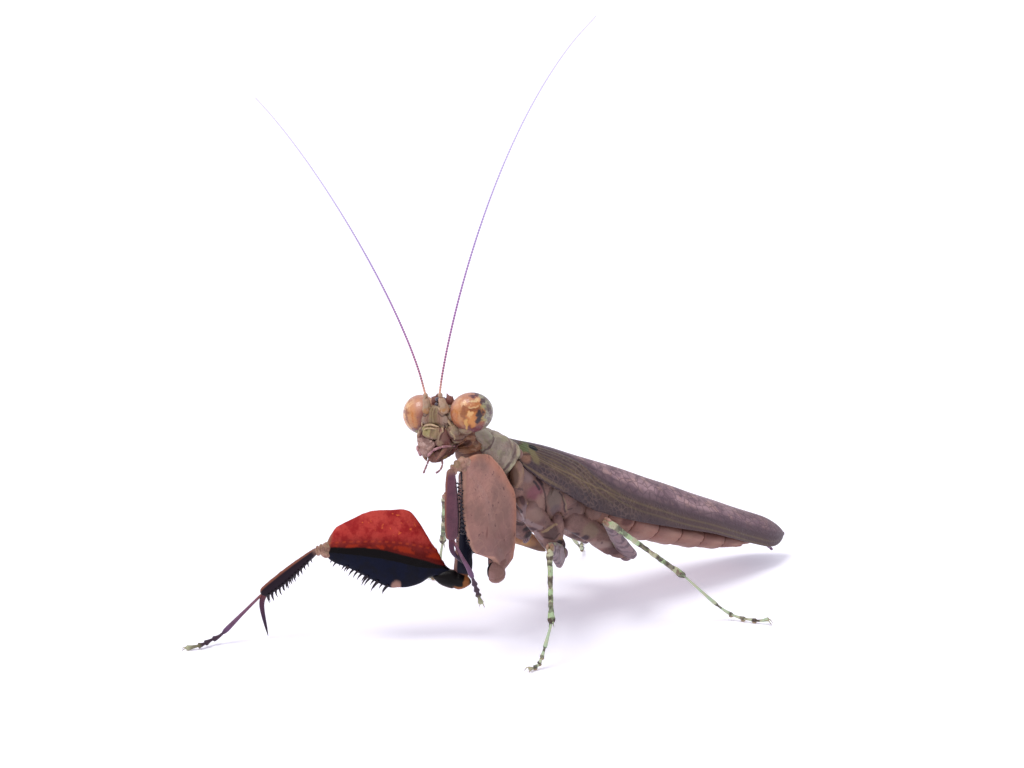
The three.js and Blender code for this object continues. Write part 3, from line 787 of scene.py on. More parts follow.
@once
def net_group():
    """A net of fine veins between cells: 1 on the veins."""
    graph, takes, gives = new_group(
        "vein_net",
        [
            ("Place", "NodeSocketVector", (0, 0, 0)), ("Cells", "NodeSocketFloat", 2.0),
            ("Width", "NodeSocketFloat", 0.08),
        ],
        [("Net", "NodeSocketFloat")],
    )
    edge = graph.cells(takes["Cells"], takes["Place"], "DISTANCE_TO_EDGE", 0.75)
    wide = graph.math("MULTIPLY", takes["Width"], 2.2)
    net = graph.fall(edge, takes["Width"], wide)
    graph.feed(gives["Net"], net)
    return graph.tree


def dress(name, first, second, dark, patches=1.0, freckles=0.5, grain=0.5, rough=0.5, paint=None,
          clear=0.0, sheen=0.0, relief=None, depth=0.02, shine=0.3):
    """A shell material. paint(graph, colour) may change the colour, or the roughness too."""
    material = bpy.data.materials.new(name)
    material.use_nodes = True
    graph = Graph(material.node_tree)
    graph.tree.nodes.clear()
    values = {
        "Colour": first, "Second": second, "Dark": dark, "Patches": patches, "Freckles": freckles,
        "Grain": grain,
    }
    shell = graph.node("ShaderNodeGroup", values, node_tree=cuticle_group()).outputs
    shade = shell["Colour"]
    gloss = graph.math("ADD", shell["Roughness"], rough)
    if paint:
        painted = paint(graph, shade)
        shade, gloss = painted if isinstance(painted, tuple) else (painted, gloss)
    height = shell["Height"]
    if relief:
        height = graph.math("ADD", height, relief(graph))
    bump = graph.node("ShaderNodeBump", {"Height": height, "Strength": 0.6, "Distance": depth * MM})
    surface = {
        "Base Color": shade, "Roughness": gloss, "Normal": bump.outputs[0], "Specular IOR Level": shine,
        "Coat Weight": clear, "Coat Roughness": 0.15, "Sheen Weight": sheen,
    }
    shader = graph.node("ShaderNodeBsdfPrincipled", surface)
    end = graph.node("ShaderNodeOutputMaterial")
    graph.tree.links.new(shader.outputs[0], end.inputs[0])
    return material


def finish(*look, **more):
    """Turn a painting function into the maker of its material."""
    return lambda paint: once(lambda: dress(*look, paint, **more))


def plain(*look, **more):
    """The maker of a material without painting."""
    return once(lambda: dress(*look, **more))


def eye_relief(graph):
    """Fine facets."""
    return graph.math("MULTIPLY", graph.cells(24.0), -0.7)


@finish("eye", "eye", "b26834", "eye_brown", 1.6, 0.2, 0.25, 0.3, clear=0.4, relief=eye_relief, depth=0.012)
def eye_finish(graph, shade):
    """Amber, with brown and cream blotches, a dark false pupil painted on as fixed shade, and a grey-green
    rear.
    """
    place = graph.shaken(graph.shaken(graph.mark(), 2.0, 0.24, 4.0), 5.5, 0.13, 4.0)
    out, high, back = graph.parts(place)
    small = graph.noise(3.4, 4, roughness=0.6, stretch=(1.0, 1.0, 0.6))
    streak = graph.noise(2.4, 3, roughness=0.5, stretch=(1.3, 1.3, 0.45))
    shade = graph.layers(
        shade,
        ("a8683f", graph.step(small, 0.46, 0.62), 0.55),
        ("c8905c", graph.step(streak, 0.52, 0.62), 0.5),
    )

    def patches(shade, *marks):
        """Spots: (middle, reach, share, colour, how soft its edge is)."""
        for middle, reach, share, tint, *soft in marks:
            shade = graph.over(shade, tint, graph.spot(place, middle, reach, *(soft or [0.3])), share)
        return shade

    # low down: purple-brown; up on the front: pink-tan with cream
    shade = patches(
        shade,
        ((0.0, -0.82, 0.6), (0.85, 0.44, 0.9), 0.95, "65383f", 0.5),
        ((-0.35, 0.7, 0.6), (0.6, 0.3, 0.7), 0.7, "bf8060", 0.5),
        ((-0.5, 0.0, 0.85), (0.12, 0.6, 0.5), 0.6, "bd8a5c", 0.5),
        ((-0.3, 0.15, 0.9), (0.1, 0.45, 0.5), 0.7, "7d4a30", 0.5),
        ((-0.15, 0.35, 0.9), (0.35, 0.12, 0.5), 0.75, "94583a"),
        ((0.1, 0.42, 0.85), (0.24, 0.06, 0.5), 0.8, "dcb482"),
        ((-0.02, 0.08, 1.0), (0.16, 0.12, 0.5), 0.85, "e0b076"),
        ((0.04, -0.3, 0.95), (0.18, 0.28, 0.5), 0.75, "d08a44"),
        ((-0.25, -0.45, 0.9), (0.09, 0.3, 0.5), 0.85, "d3a158"),
        ((-0.3, 0.62, 0.75), (0.09, 0.1, 0.5), 0.85, "e2b58c"),
        ((-0.02, 0.74, 0.65), (0.2, 0.06, 0.5), 0.6, "a8664c"),
        ((0.2, 0.72, 0.65), (0.2, 0.07, 0.5), 0.85, "dcbc8a"),
    )
    # the inner side: pale blotches along the top, brown low at the back
    shade = patches(shade, ((-0.75, 0.6, 0.3), (0.6, 0.26, 0.55), 0.7, "d39468"))
    pale = graph.both(graph.blots(0.52, 0.6, 2.6, 2), 0.6)
    shade = graph.over(shade, "eye_pale", pale, graph.step(high, 0.3, 0.7))
    shade = patches(shade, ((-0.8, -0.6, 0.0), (0.5, 0.35, 0.6), 0.9, "5c2c22", 0.5))
    # mauve towards the rim
    edge = graph.scaled(out, out, graph.math("MULTIPLY", high, high))
    rim = graph.over("74464e", "c48f7e", graph.step(high, 0.0, 0.6))
    shade = graph.over(shade, rim, graph.step(edge, 0.5, 0.95), 0.7)
    # the rear is mottled grey-green, with brown blots along its border
    rear = graph.step(graph.scaled(back, -0.35, out), 0.24, 0.42)
    mottle = graph.over("eye_rear", "77695a", graph.step(small, 0.42, 0.56))
    spots = graph.blots(0.5, 0.62, 5.0, 3)
    mottle = graph.over(mottle, "6d5560", spots, 0.6)
    shade = graph.mix(rear, shade, mottle)
    shade = patches(
        shade,
        ((0.55, 0.32, 0.75), (0.16, 0.12, 0.5), 0.7, "a09c68"),
        ((0.55, -0.25, 0.75), (0.12, 0.2, 0.5), 0.6, "9c9a60"),
        ((0.3, 0.9, 0.4), (0.2, 0.09, 0.6), 0.9, "54303c"),
        ((0.6, 0.56, 0.55), (0.13, 0.14, 0.5), 0.9, "4c333c"),
        ((0.85, 0.1, 0.45), (0.09, 0.22, 0.5), 0.7, "5c454c"),
        ((0.75, -0.4, 0.5), (0.12, 0.1, 0.5), 0.6, "5c454c"),
    )
    # the false pupil, painted as fixed shade: the dark spot that the facets show towards the viewer, under a
    # brown patch
    pupil = (0.014, 0.01, 0.02)
    return patches(
        shade,
        ((0.2, 0.28, 0.95), (0.3, 0.12, 0.5), 0.7, "7a3f22", 0.4),
        ((0.42, 0.0, 0.9), (0.15, 0.22, 0.4), 0.95, pupil, 0.35),
        ((0.34, -0.28, 0.92), (0.13, 0.15, 0.4), 0.95, pupil, 0.35),
    )


@finish("head_shell", "head", "8d7a6c", "thorax_dark", 2.2, 0.6, 0.7, 0.5)
def head_finish(graph, shade):
    """Olive brown shell, greyer on the cheeks."""
    shade = graph.layers(
        shade,
        ("head_green", graph.blots(0.48, 0.62, 1.3, 3), 0.4),
        ("jaw", graph.blots(0.5, 0.66, 3.0, 3, stretch=(1.0, 1.0, 0.3)), 0.6),
    )
    small = graph.blots(0.56, 0.66, 5.0, 3)
    return creased(graph, graph.over(shade, "5f463e", small, 0.6))


@finish("forehead", "8f7a5a", "977f6a", "jaw", 2.6, 0.6, 0.7, 0.45)
def face_finish(graph, shade):
    """The forehead: olive brown in the middle, pinkish grey to the sides, under pale ridges."""
    across, _, along = graph.lay()
    swing = graph.scaled(graph.noise(2.2, 3), 0.3, -0.15)
    wide = graph.math("ADD", graph.math("ABSOLUTE", across), swing)
    shade = graph.layers(
        shade,
        ("7a6a44", graph.fall(wide, 0.3, 0.5), graph.step(along, 0.1, 0.4), 0.6),
        ("93796e", graph.step(wide, 0.5, 0.75), 0.5),
        ("6f543e", graph.blots(0.5, 0.62, 2.6, 3, stretch=(1.0, 1.0, 0.4)), 0.55),
    )
    seam = graph.either(graph.step(wide, 0.98, 1.06), graph.step(along, 0.95, 0.99))
    return creased(graph, graph.over(shade, "thorax_dark", seam, 0.8))


@finish("jaw", "jaw", "head", "thorax_dark", 2.4, 0.5, 0.5, 0.42)
def jaw_finish(graph, shade):
    """Red-brown, darker to the edges."""
    wide = graph.math("ABSOLUTE", graph.lay()[0])
    return creased(graph, graph.over(shade, "thorax_dark", graph.step(wide, 0.6, 1.0), 0.6))


@finish("mouth", "mouth", "7a5248", "thorax_dark", 2.0, 0.7, 0.5, 0.45)
def mouth_finish(graph, shade):
    """Dark purple-brown lower lip with a yellowish patch."""
    _, _, along = graph.lay()
    return graph.layers(
        shade,
        ("a38a5e", graph.band(along, 0.72, 0.06, 0.1), graph.blots(0.46, 0.56, 1.8), 0.8),
        ("thorax_dark", graph.blots(0.46, 0.58, 2.2, 3), 0.65),
    )


# The simple eyes: dark, wet-looking beads; their lavender grey is painted sheen, patched with near black.
bead_finish = plain(
    "simple_eye", (0.16, 0.15, 0.2), (0.05, 0.03, 0.05), (0.01, 0.01, 0.01), 3.0, 0.4, 0.0, 0.15, clear=1.0,
)


# Red-brown horns of the crown.
horn_finish = plain("crown_horn", "jaw", "6e3b34", "thorax_dark", 3.0, 0.7, 0.8, 0.45)


@finish("feeler_root", "ab9078", "b58f78", "jaw", 2.5, 0.4, 0.3, 0.4)
def scape_finish(graph, shade):
    """The feelers' roots: orange-brown at the socket, olive above and peach at the second joint."""
    along = graph.lay()[2]
    return graph.mix(
        graph.blots(0.4, 0.6, 3.0, 2),
        graph.ramp(along, (0.0, "94663e"), (0.3, "a97a4c"), (0.5, "a38c74"), (1.0, "c39b82")), shade,
    )


@finish("feeler", "feeler", "feeler", "feeler", 2.0, 0.0, 0.2, 0.45)
def feeler_finish(graph, shade):
    """Ringed magenta on peach, fading to lavender at the tip."""
    along = graph.lay()[2]
    rings = 2 * count("feeler_rings")
    wave = graph.repeat(along, float(rings))
    ring = graph.band(wave, 0.35, 0.2, 0.15)
    base = graph.ramp(
        along, (0.0, "feeler"), (0.06, "d896a6"), (0.2, "c092bb"), (0.4, "c4b0d6"), (0.6, "d6cbea"),
        (1.0, "feeler_tip"),
    )
    dark = graph.ramp(
        along, (0.0, "feeler"), (0.04, "feeler_ring"), (0.2, "93609a"), (0.4, "a58ac4"), (0.65, "cabfe4"),
        (1.0, "feeler_tip"),
    )
    return graph.mix(ring, base, dark)


@finish("neck_shield", "shield", "8e7f72", "thorax_dark", 1.8, 0.8, 0.8, 0.5)
def shield_finish(graph, shade):
    """Grey-olive cape with a pale green edge, freckled with purple-brown."""
    _, up, along = graph.lay()
    place = graph.millimetres()
    swing = graph.scaled(graph.noise(1.2, 3, place), 0.1, -0.05)
    along = graph.math("ADD", along, swing)
    rear = graph.either(graph.band(along, 0.93, 0.01, 0.03), graph.band(along, 0.8, 0.006, 0.015))
    groove = graph.either(graph.band(along, 0.42, 0.006, 0.015), graph.band(along, 0.87, 0.006, 0.02))
    folds = graph.band(graph.noise(0.75, 3, place, 0.55, stretch=(1.0, 1.0, 0.5)), 0.5, 0.006, 0.03)
    return graph.layers(
        shade,
        ("8d6f66", graph.blots(0.5, 0.62, 1.0, 3, place, stretch=(1.0, 0.7, 1.4)), 0.5),
        ("a39a8c", graph.fall(along, 0.3, 0.6), 0.5),
        ("a3a387", graph.blots(0.52, 0.62, 1.6, 3, place, stretch=(0.5, 1.2, 0.5)), 0.45),
        ("shield_rim", graph.either(rear, graph.step(graph.minus(up), 0.8, 0.95)), 0.38),
        ("86885c", graph.blots(0.54, 0.62, 1.3, 3, place), 0.4),
        ("thorax_dark", groove, 0.75),
        ("5c4844", folds, 0.5),
        ("74605a", graph.blots(0.54, 0.64, 0.8, 4, place, 0.65), 0.55),
        ("b3a290", graph.blots(0.56, 0.66, 1.1, 3, place), 0.45),
        ("a9ad8a", graph.step(graph.minus(up), 0.93, 0.98), 0.6),
        ("thorax_dark", graph.step(along, 0.975, 1.0), 0.7),
    )


@finish("neck", "8a6045", "9a7054", "thorax_dark", 2.0, 0.6, 0.8, 0.55)
def neck_finish(graph, shade):
    """Soft brown folds, streaked pale with painted highlight and dark with painted shade."""
    return graph.layers(
        shade,
        # pale streaks: painted highlights along the folds
        ("b29079", graph.blots(0.54, 0.62, 2.4, 3, stretch=(0.6, 1.0, 1.6)), 0.6),
        # dark streaks: painted shade in the folds
        ("thorax_dark", graph.blots(0.5, 0.6, 1.7, 3, stretch=(0.6, 1.0, 1.8)), 0.7),
    )


@finish("thorax", "87655c", "775950", "thorax_dark", 1.2, 0.6, 0.8, 0.5)
def thorax_finish(graph, shade):
    """Pinkish brown plates with magenta and dark purple marks and pale yellow arcs."""
    marks = (
        *WING_ROOT_MARKS, ("6a4a40", 0.7, (-2.95, 8.6), (0.28, 0.8)),
        ("7d6c74", 0.6, (-2.1, 6.65), (0.35, 0.5)), ("a08a8c", 0.55, (-1.8, 6.0), (0.45, 0.28)),
        ("8c7474", 0.6, (-2.0, 8.75), (0.4, 0.45)), ("7a5344", 0.8, (-4.2, 9.5), (1.2, 0.9)),
        ("94796f", 0.55, (-1.7, 6.5), (0.6, 0.35)), ("7a4450", 0.8, (-1.5, 7.65), (0.5, 0.4)),
        ("99776c", 0.6, (-1.1, 7.15), (0.38, 0.4)), ("46292e", 0.85, (-2.27, 7.33), (0.17, 0.27)),
        ("70625a", 0.75, (-0.2, 7.0), (0.42, 0.7)), ("5c4a50", 0.65, (-0.1, 6.42), (0.4, 0.3)),
        ("947862", 0.7, (0.05, 5.86), (0.42, 0.24)), ("6b5250", 0.6, (1.1, 6.2), (0.4, 0.7)),
        ("3c2a36", 0.85, (-1.5, 5.5), (0.32, 0.13)),
    )
    strokes = (
        ("2a1a24", 0.9, 0.06, ((-1.6, 8.28), (-1.22, 7.81))),
        ("2a1a24", 0.9, 0.07, ((-1.37, 8.44), (-1.07, 7.99))),
        ("b0926a", 0.8, 0.05, ((-1.95, 7.09), (-1.78, 6.55))),
        ("3c2628", 0.8, 0.04, ((-1.04, 8.03), (-0.83, 7.34), (-0.64, 6.7), (-0.64, 6.19), (-0.46, 5.85))),
        ("3c2a30", 0.8, 0.035, ((0.07, 7.44), (0.32, 6.93), (0.53, 6.2))),
        ("a98e6e", 0.75, 0.045, ((-1.3, 5.75), (-0.88, 5.78), (-0.52, 5.93))),
        ("b8a8a8", 0.6, 0.025, ((-2.72, 7.73), (-2.48, 6.78), (-2.19, 6.27))),
        ("33242c", 0.8, 0.05, ((-2.75, 7.28), (-2.4, 6.72))),
        ("a8979c", 0.4, 0.08, ((-2.8, 6.94), (-2.47, 6.4), (-1.82, 6.0))),
        ("3c2a30", 0.7, 0.035, ((0.63, 6.27), (0.93, 6.36))),
        ("8f7e66", 0.6, 0.03, ((0.3, 7.12), (0.63, 6.25))),
        ("3c2a30", 0.6, 0.04, ((-2.5, 8.0), (-2.2, 7.9))),
    )
    place = graph.millimetres()
    patch = graph.noise(0.9, 4, place, 0.6)
    shade = graph.over(shade, "6d564e", graph.step(patch, 0.5, 0.62), 0.5)
    shade = stroked(graph, marked(graph, shade, marks), strokes)
    spots = graph.blots(0.66, 0.7, 1.7, 2, place)
    return graph.over(shade, "thorax_dark", spots, 0.6)


@finish("flank_lobe", "93745c", "85655a", "thorax_dark", 1.6, 0.35, 0.4, 0.42)
def lobe_finish(graph, shade):
    """Smooth tan lobes of the flank, brown to the front."""
    return marked(graph, shade, (("4c3228", 0.8, (-3.0, 8.7), (0.35, 0.75)),))


def net(graph, place, cells, width):
    """The net of veins at a place."""
    values = {"Place": place, "Cells": cells, "Width": width}
    return graph.node("ShaderNodeGroup", values, node_tree=net_group()).outputs["Net"]


def unrolled(graph, stretch):
    """The place on the wing as if it lay flat."""
    across, _, along = graph.lay()
    flat = {0: graph.math("MULTIPLY", across, 2.2), 1: graph.math("MULTIPLY", along, stretch)}
    return graph.node("ShaderNodeCombineXYZ", flat).outputs[0]


def wing_relief(graph):
    """The veins stand out a little."""
    fine = net(graph, graph.millimetres(), 3.4, 0.08)
    large = net(graph, unrolled(graph, 13.0), 3.0, 0.06)
    return graph.either(fine, large)


@finish("wing", "wing", "4c3a3c", "wing_net", 0.9, 0.5, 0.4, 0.42, relief=wing_relief, depth=0.02,
        shine=0.25)
def wing_finish(graph, shade):
    """Net-veined leather: pinkish cells on the back, olive brown on the sides, yellowish main veins."""
    strokes = (
        ("22181c", 0.9, 0.05, ((-2.75, 9.62), (-2.49, 9.5), (-2.2, 9.3))),
        ("4a3230", 0.8, 0.04, ((-2.05, 9.7), (-1.5, 9.66))),
    )
    across, _, along = graph.lay()
    wide = graph.math("ABSOLUTE", across)
    place = graph.millimetres()
    fold = graph.math("SUBTRACT", wide, graph.course(along, *FOLD_LINE))
    vein = graph.math("SUBTRACT", wide, graph.course(along, *MAIN_VEIN))
    back = graph.fall(fold, -0.05, 0.03)
    # the sides: olive brown by the main vein, purple grey to the front edge
    low = graph.step(vein, 0.04, 0.16)
    far = graph.step(along, 0.25, 0.7)
    fine = net(graph, graph.shaken(place, 1.2, 0.15), 3.4, 0.05)
    near = graph.scaled(graph.inverse(far), 0.85, 0.15)
    shade = graph.layers(
        shade,
        ("58453b", graph.band(vein, 0.0, 0.06, 0.16), 0.6),
        ("43373e", low, 0.65),
        ("54424a", far, 0.5),
        ("3b2c33", graph.blots(0.4, 0.62, 1.1, 3, place), near, 0.55),
        ("765f58", fine, near, graph.scaled(graph.blots(0.4, 0.6, 0.8, 2, place), 0.35, 0.12)),
    )
    # the back: pinkish cells in a purple net
    blush = graph.over("wing_back", "80656e", graph.blots(0.42, 0.58, 0.55, 3, place))
    blush = graph.over(blush, "c09a92", graph.blots(0.5, 0.62, 1.4, 3, place), 0.45)
    blush = graph.over("5f5058", blush, graph.step(along, 0.1, 0.24))
    blush = graph.layers(
        blush,
        ("6e5660", graph.step(along, 0.6, 0.85), 0.5),
        ("wing_net", net(graph, graph.shaken(unrolled(graph, 13.0), 1.2, 0.1), 3.0, 0.04), 0.5),
    )
    shade = graph.mix(back, shade, blush)
    border = graph.band(fold, -0.02, 0.05, 0.1)
    shade = graph.over(shade, "wing_net", border, graph.step(along, 0.05, 0.2), 0.7)
    # long veins
    stripes = graph.repeat(fold, 12.0)
    stripe = graph.both(graph.band(stripes, 0.5, 0.05, 0.2), graph.inverse(back))
    stripe = graph.both(stripe, graph.inverse(low), graph.step(fold, 0.08, 0.14), 0.14)
    fading = graph.fall(along, 0.2, 0.42)
    main = graph.both(graph.band(vein, 0.0, 0.005, 0.012), fading)
    leading = graph.fall(along, 0.08, 0.16)
    shade = graph.layers(
        shade,
        ("wing_vein", stripe),
        ("806c50", graph.either(main, graph.both(graph.band(wide, 0.96, 0.012, 0.02), leading, 0.8)), 0.6),
    )
    # the root is green with orange and a black oval, and the tip dark
    shade = stroked(graph, marked(graph, shade, WING_ROOT_MARKS), strokes)
    sites = graph.joined(wide, graph.math("MULTIPLY", along, 8.0))
    oval = graph.spot(sites, (0.36, 0.4, 0), (0.11, 0.105, 1), 0.1)
    shade = graph.mix(oval, shade, (0.004, 0.005, 0.006))
    tip = graph.both(graph.step(along, 0.86, 0.97), 0.6)
    return graph.over(shade, "55424a", tip)


@finish("abdomen", "95685c", "866056", "thorax_dark", 1.0, 0.4, 0.6, 0.5)
def abdomen_finish(graph, shade):
    """Salmon brown rings with softly darker joints, and a painted shadow along the top under the wings."""
    _, up, along = graph.lay()
    shade = graph.layers(
        shade,
        ("987564", graph.blots(0.48, 0.62, 1.1, 3, stretch=(1.0, 0.7, 1.0)), 0.5),
        ("a67c6c", graph.band(along, 0.6, 0.1, 0.35), 0.35),
        ("7a5048", graph.fall(along, 0.0, 0.35), 0.35),
        # painted shadow: darker along the top, under the edge of the wings
        ("5a3430", graph.step(up, -0.25, 0.3), 0.6),
    )
    return marked(graph, shade, (("5a2a26", 0.85, (4.65, 5.0), (0.4, 0.3)),))


@finish("fore_femur", "femur", "977066", "thorax_dark", 0.8, 0.4, 0.6, 0.5, shine=0.12)
def femur_finish(graph, shade):
    """The boxing blade: pinkish brown outside; red, black and blue-black inside."""
    inner, high, along = graph.lay()
    place = graph.millimetres()
    wobble = graph.scaled(graph.noise(0.9, 2, place), 0.16, -0.08)
    height = graph.math("ADD", high, wobble)
    # outside: warmer to the knee and the rear edge, purple low down, with small freckles
    rear = graph.math("SUBTRACT", high, graph.course(along, *FEMUR_SHAPES["left"][0]))
    low = graph.math("SUBTRACT", graph.minus(high), graph.course(along, *FEMUR_SHAPES["left"][1]))
    shade = graph.layers(
        shade,
        ("866663", graph.fall(along, 0.1, 0.75), 0.75),
        ("femur_edge", graph.step(rear, -0.9, 0.0), 0.7),
        ("a77a70", graph.step(low, -0.25, 0.0), 0.5),
        ("c99c84", graph.either(graph.step(rear, -0.12, -0.02), graph.step(low, -0.1, 0.0)), 0.5),
        ("82655c", graph.blots(0.46, 0.62, 0.6, 4, place, 0.65), 0.5),
        ("c09482", graph.band(graph.noise(0.7, 3, place), 0.5, 0.008, 0.02), 0.14),
        ("thorax_dark", graph.blots(0.64, 0.72, 3.4, 2, place), 0.65),
        ("6b453e", graph.blots(0.68, 0.72, 1.3, 2, place, stretch=(1.0, 1.0, 0.35)), 0.6),
    )
    # inside: the red field, darker and more orange under its row of beads
    over = graph.math("SUBTRACT", high, graph.course(along, *DOT_ROW))
    red = graph.over("981f20", "bf453c", graph.blots(0.4, 0.64, 1.3, 5, place, 0.65))
    row = graph.band(over, 0.0, 0.025, 0.05)
    red = graph.layers(
        red,
        ("femur_red", graph.blots(0.52, 0.66, 2.6, 3, place), 0.5),
        # orange specks over the row: partly real, partly a painted glow of light through the red shell
        ("femur_glow", graph.blots(0.6, 0.7, 3.4, 4, place), graph.step(over, 0.1, 0.5), 0.85),
        ("520c08", graph.fall(over, -0.5, 0.6), 0.95),
        ("a83212", graph.band(over, -0.3, 0.08, 0.16), graph.blots(0.44, 0.6, 1.6, 3, place), 0.6),
        ("b04020", row, graph.band(graph.repeat(along, 19.0), 0.5, 0.12, 0.25), 0.5),
    )
    above = graph.math("SUBTRACT", height, graph.course(along, *RED_EDGE))
    below = graph.math("SUBTRACT", height, graph.course(along, *BLUE_EDGE))
    blue = graph.over("femur_blue", "0d0d1a", graph.blots(0.4, 0.7, 2.0, 3, place))
    inside = graph.over(blue, "femur_black", graph.step(below, -0.04, 0.03))
    marks = graph.joined(along, high)
    notch = graph.spot(graph.shaken(marks, 1.5, 0.04), (0.415, -1.2, 0), (0.03, 0.4, 1), 0.3)
    inside = graph.over(inside, "a77f72", notch, 0.85)
    inside = graph.mix(graph.step(above, -0.05, 0.06), inside, red)
    knee = graph.both(graph.step(along, 0.955, 0.99), 0.9)
    inside = graph.over(inside, "8a6450", knee)
    colour = graph.mix(graph.step(inner, -0.12, 0.12), shade, inside)
    # the black band is glossy, the blue-black field matt
    gloss = graph.both(graph.step(below, -0.04, 0.03), graph.fall(above, -0.05, 0.06))
    return colour, graph.scaled(gloss, -0.3, 0.55)


@finish("fore_tibia", "68414d", "5c3a46", "tibia_dark", 1.5, 0.5, 0.5, 0.4, shine=0.15)
def fore_tibia_finish(graph, shade):
    """Purple-brown outside and along the back, dark purple-black inside."""
    inner, back, along = graph.lay()
    dark = graph.either(graph.step(inner, -0.1, 0.2), graph.step(graph.minus(back), 0.35, 0.7))
    return graph.layers(
        shade,
        ("tibia_dark", dark),
        ("84503f", graph.step(back, 0.55, 0.85), graph.step(inner, -0.4, 0.1), 0.85),
        ("8d6a5c", graph.fall(along, 0.02, 0.1), 0.7),
    )


# Dark spines, almost black.
spine_finish = plain("spine", "tibia_dark", "1c121c", "femur_black", 3.0, 0.3, 0.2, 0.3)


@finish("claw", "joint", "tibia", "tibia_dark", 2.0, 0.2, 0.2, 0.3)
def claw_finish(graph, shade):
    """Red-brown at the root to dark purple at the point."""
    along = graph.lay()[2]
    return graph.ramp(along, (0.0, "6d3434"), (0.2, "4e2238"), (0.6, "331836"), (1.0, "tibia_dark"))


@finish("fore_coxa", "86655c", "785450", "thorax_dark", 1.3, 0.5, 0.6, 0.45, shine=0.15)
def fore_coxa_finish(graph, shade):
    """Brown outside, blue-black inside, orange at its end."""
    inner, _, along = graph.lay()
    return graph.layers(
        shade,
        ("171726", graph.step(inner, 0.05, 0.35), graph.step(along, 0.2, 0.35)),
        ("94592e", graph.step(along, 0.95, 0.98), 0.8),
    )


@finish("trochanter", "94706a", "84625a", "thorax_dark", 1.6, 0.4, 0.5, 0.35, shine=0.15)
def trochanter_finish(graph, shade):
    """Pinkish brown outside; glossy black with orange bands inside."""
    inner, up, along = graph.lay()
    swing = graph.scaled(graph.noise(1.6, 2), 0.2, -0.1)
    along = graph.math("ADD", along, swing)
    near = graph.fall(along, 0.3, 0.5)
    band = graph.either(
        graph.band(along, 0.12, 0.04, 0.06), graph.both(graph.band(up, -0.85, 0.1, 0.15), near),
    )
    inside = graph.over("femur_black", "94592e", band, 0.85)
    return graph.mix(graph.step(inner, 0.15, 0.4), shade, inside)


@finish("fore_tarsus", "tibia", "tibia", "tibia_dark", 2.0, 0.4, 0.4, 0.4)
def fore_tarsus_finish(graph, shade):
    """Red-brown at the ankle, purple along, and greenish at the last joint."""
    along = graph.lay()[2]
    wave = graph.noise(2.6, 2)
    tint = graph.ramp(
        along, (0.0, "9a5846"), (0.1, "7c5060"), (0.5, "684868"), (0.57, "463044"), (0.82, "3e2c38"),
        (0.87, "7a7558"), (1.0, "b5b795"),
    )
    return graph.over(tint, "4a3038", graph.step(wave, 0.5, 0.6), 0.35)


def banded(graph, shade, place, pairs, share=0.9, soft=0.02):
    """Dark bands at (middle, half width) shares along a leg, with broken edges."""
    along = graph.lay()[2]
    wobble = graph.scaled(graph.noise(3.0, 3, place), 0.12, -0.06)
    along = graph.math("ADD", along, wobble)
    bands = [graph.band(along, middle, half, soft) for middle, half in pairs]
    broken = graph.scaled(graph.blots(0.35, 0.6, 4.0, 2, place), -0.35, 1.0)
    return graph.over(shade, "leg_dark", graph.either(*bands), broken, share)


@finish("coxa", "8c6a62", "785a54", "thorax_dark", 1.2, 0.6, 0.8, 0.5)
def coxa_finish(graph, shade):
    """Purple-brown, with pale arcs, dark spots and a black end by the thigh."""
    marks = (
        ("513c3d", 0.8, (-0.58, 5.34), (0.52, 0.3)), ("94796f", 0.55, (-1.65, 6.45), (0.6, 0.4)),
        ("3d2733", 0.8, (-1.7, 5.6), (0.3, 0.14)), ("3a2426", 0.9, (0.25, 4.35), (0.25, 0.5)),
        ("8f7050", 0.7, (0.05, 4.9), (0.26, 0.12)), ("25161a", 0.95, (-0.2, 4.7), (0.3, 0.16)),
        ("25161a", 0.95, (0.02, 4.25), (0.3, 0.25)), ("7e6c58", 0.6, (2.0, 4.9), (0.5, 0.4)),
        ("382630", 0.9, (1.2, 4.75), (0.2, 0.2)), ("382630", 0.9, (1.75, 4.55), (0.2, 0.18)),
        ("43262a", 0.8, (3.7, 3.7), (0.7, 0.4)), ("a08a84", 0.5, (2.4, 4.0), (1.0, 0.25)),
    )
    strokes = (
        ("a8979c", 0.4, 0.1, ((-2.8, 6.94), (-2.47, 6.4), (-1.82, 6.0), (-1.25, 5.68))),
        ("a8979c", 0.4, 0.06, ((-1.47, 5.5), (-1.14, 5.02))),
        ("a3896a", 0.75, 0.045, ((-1.12, 5.41), (-0.76, 5.62), (-0.2, 5.68))),
        ("3a272a", 0.7, 0.04, ((-1.05, 5.15), (-0.55, 4.98), (-0.05, 5.15))),
    )
    place = graph.millimetres()
    patch = graph.blots(0.5, 0.62, 0.9, 4, place)
    shade = graph.over(shade, "66494a", patch, 0.6)
    shade = stroked(graph, marked(graph, shade, marks), strokes)
    spots = graph.blots(0.64, 0.68, 1.9, 2, place)
    return graph.over(shade, "thorax_dark", spots, 0.6)


@finish("thigh", "leg_grey", "806a70", "leg_dark", 1.6, 0.7, 0.6, 0.45)
def thigh_finish(graph, shade):
    """Grey-purple blade with curved dark bands and a greenish back."""
    _, up, along = graph.lay()
    place = graph.millimetres()
    shade = graph.layers(
        shade,
        ("leg_green", graph.step(up, 0.5, 0.9), graph.blots(0.42, 0.56, 2.0, 2, place), 0.7),
        ("6f5659", graph.blots(0.46, 0.6, 1.1, 3, place), 0.45),
    )
    wave = graph.scaled(graph.noise(1.2, 2, place), 1.6, graph.math("MULTIPLY", along, 7.0))
    wave = graph.scaled(graph.both(up, up), -0.5, wave)
    return graph.layers(
        shade,
        ("4c3842", graph.band(graph.math("FRACT", wave), 0.5, 0.1, 0.16), 0.75),
        ("8d8068", graph.step(along, 0.86, 0.95), 0.8),
    )


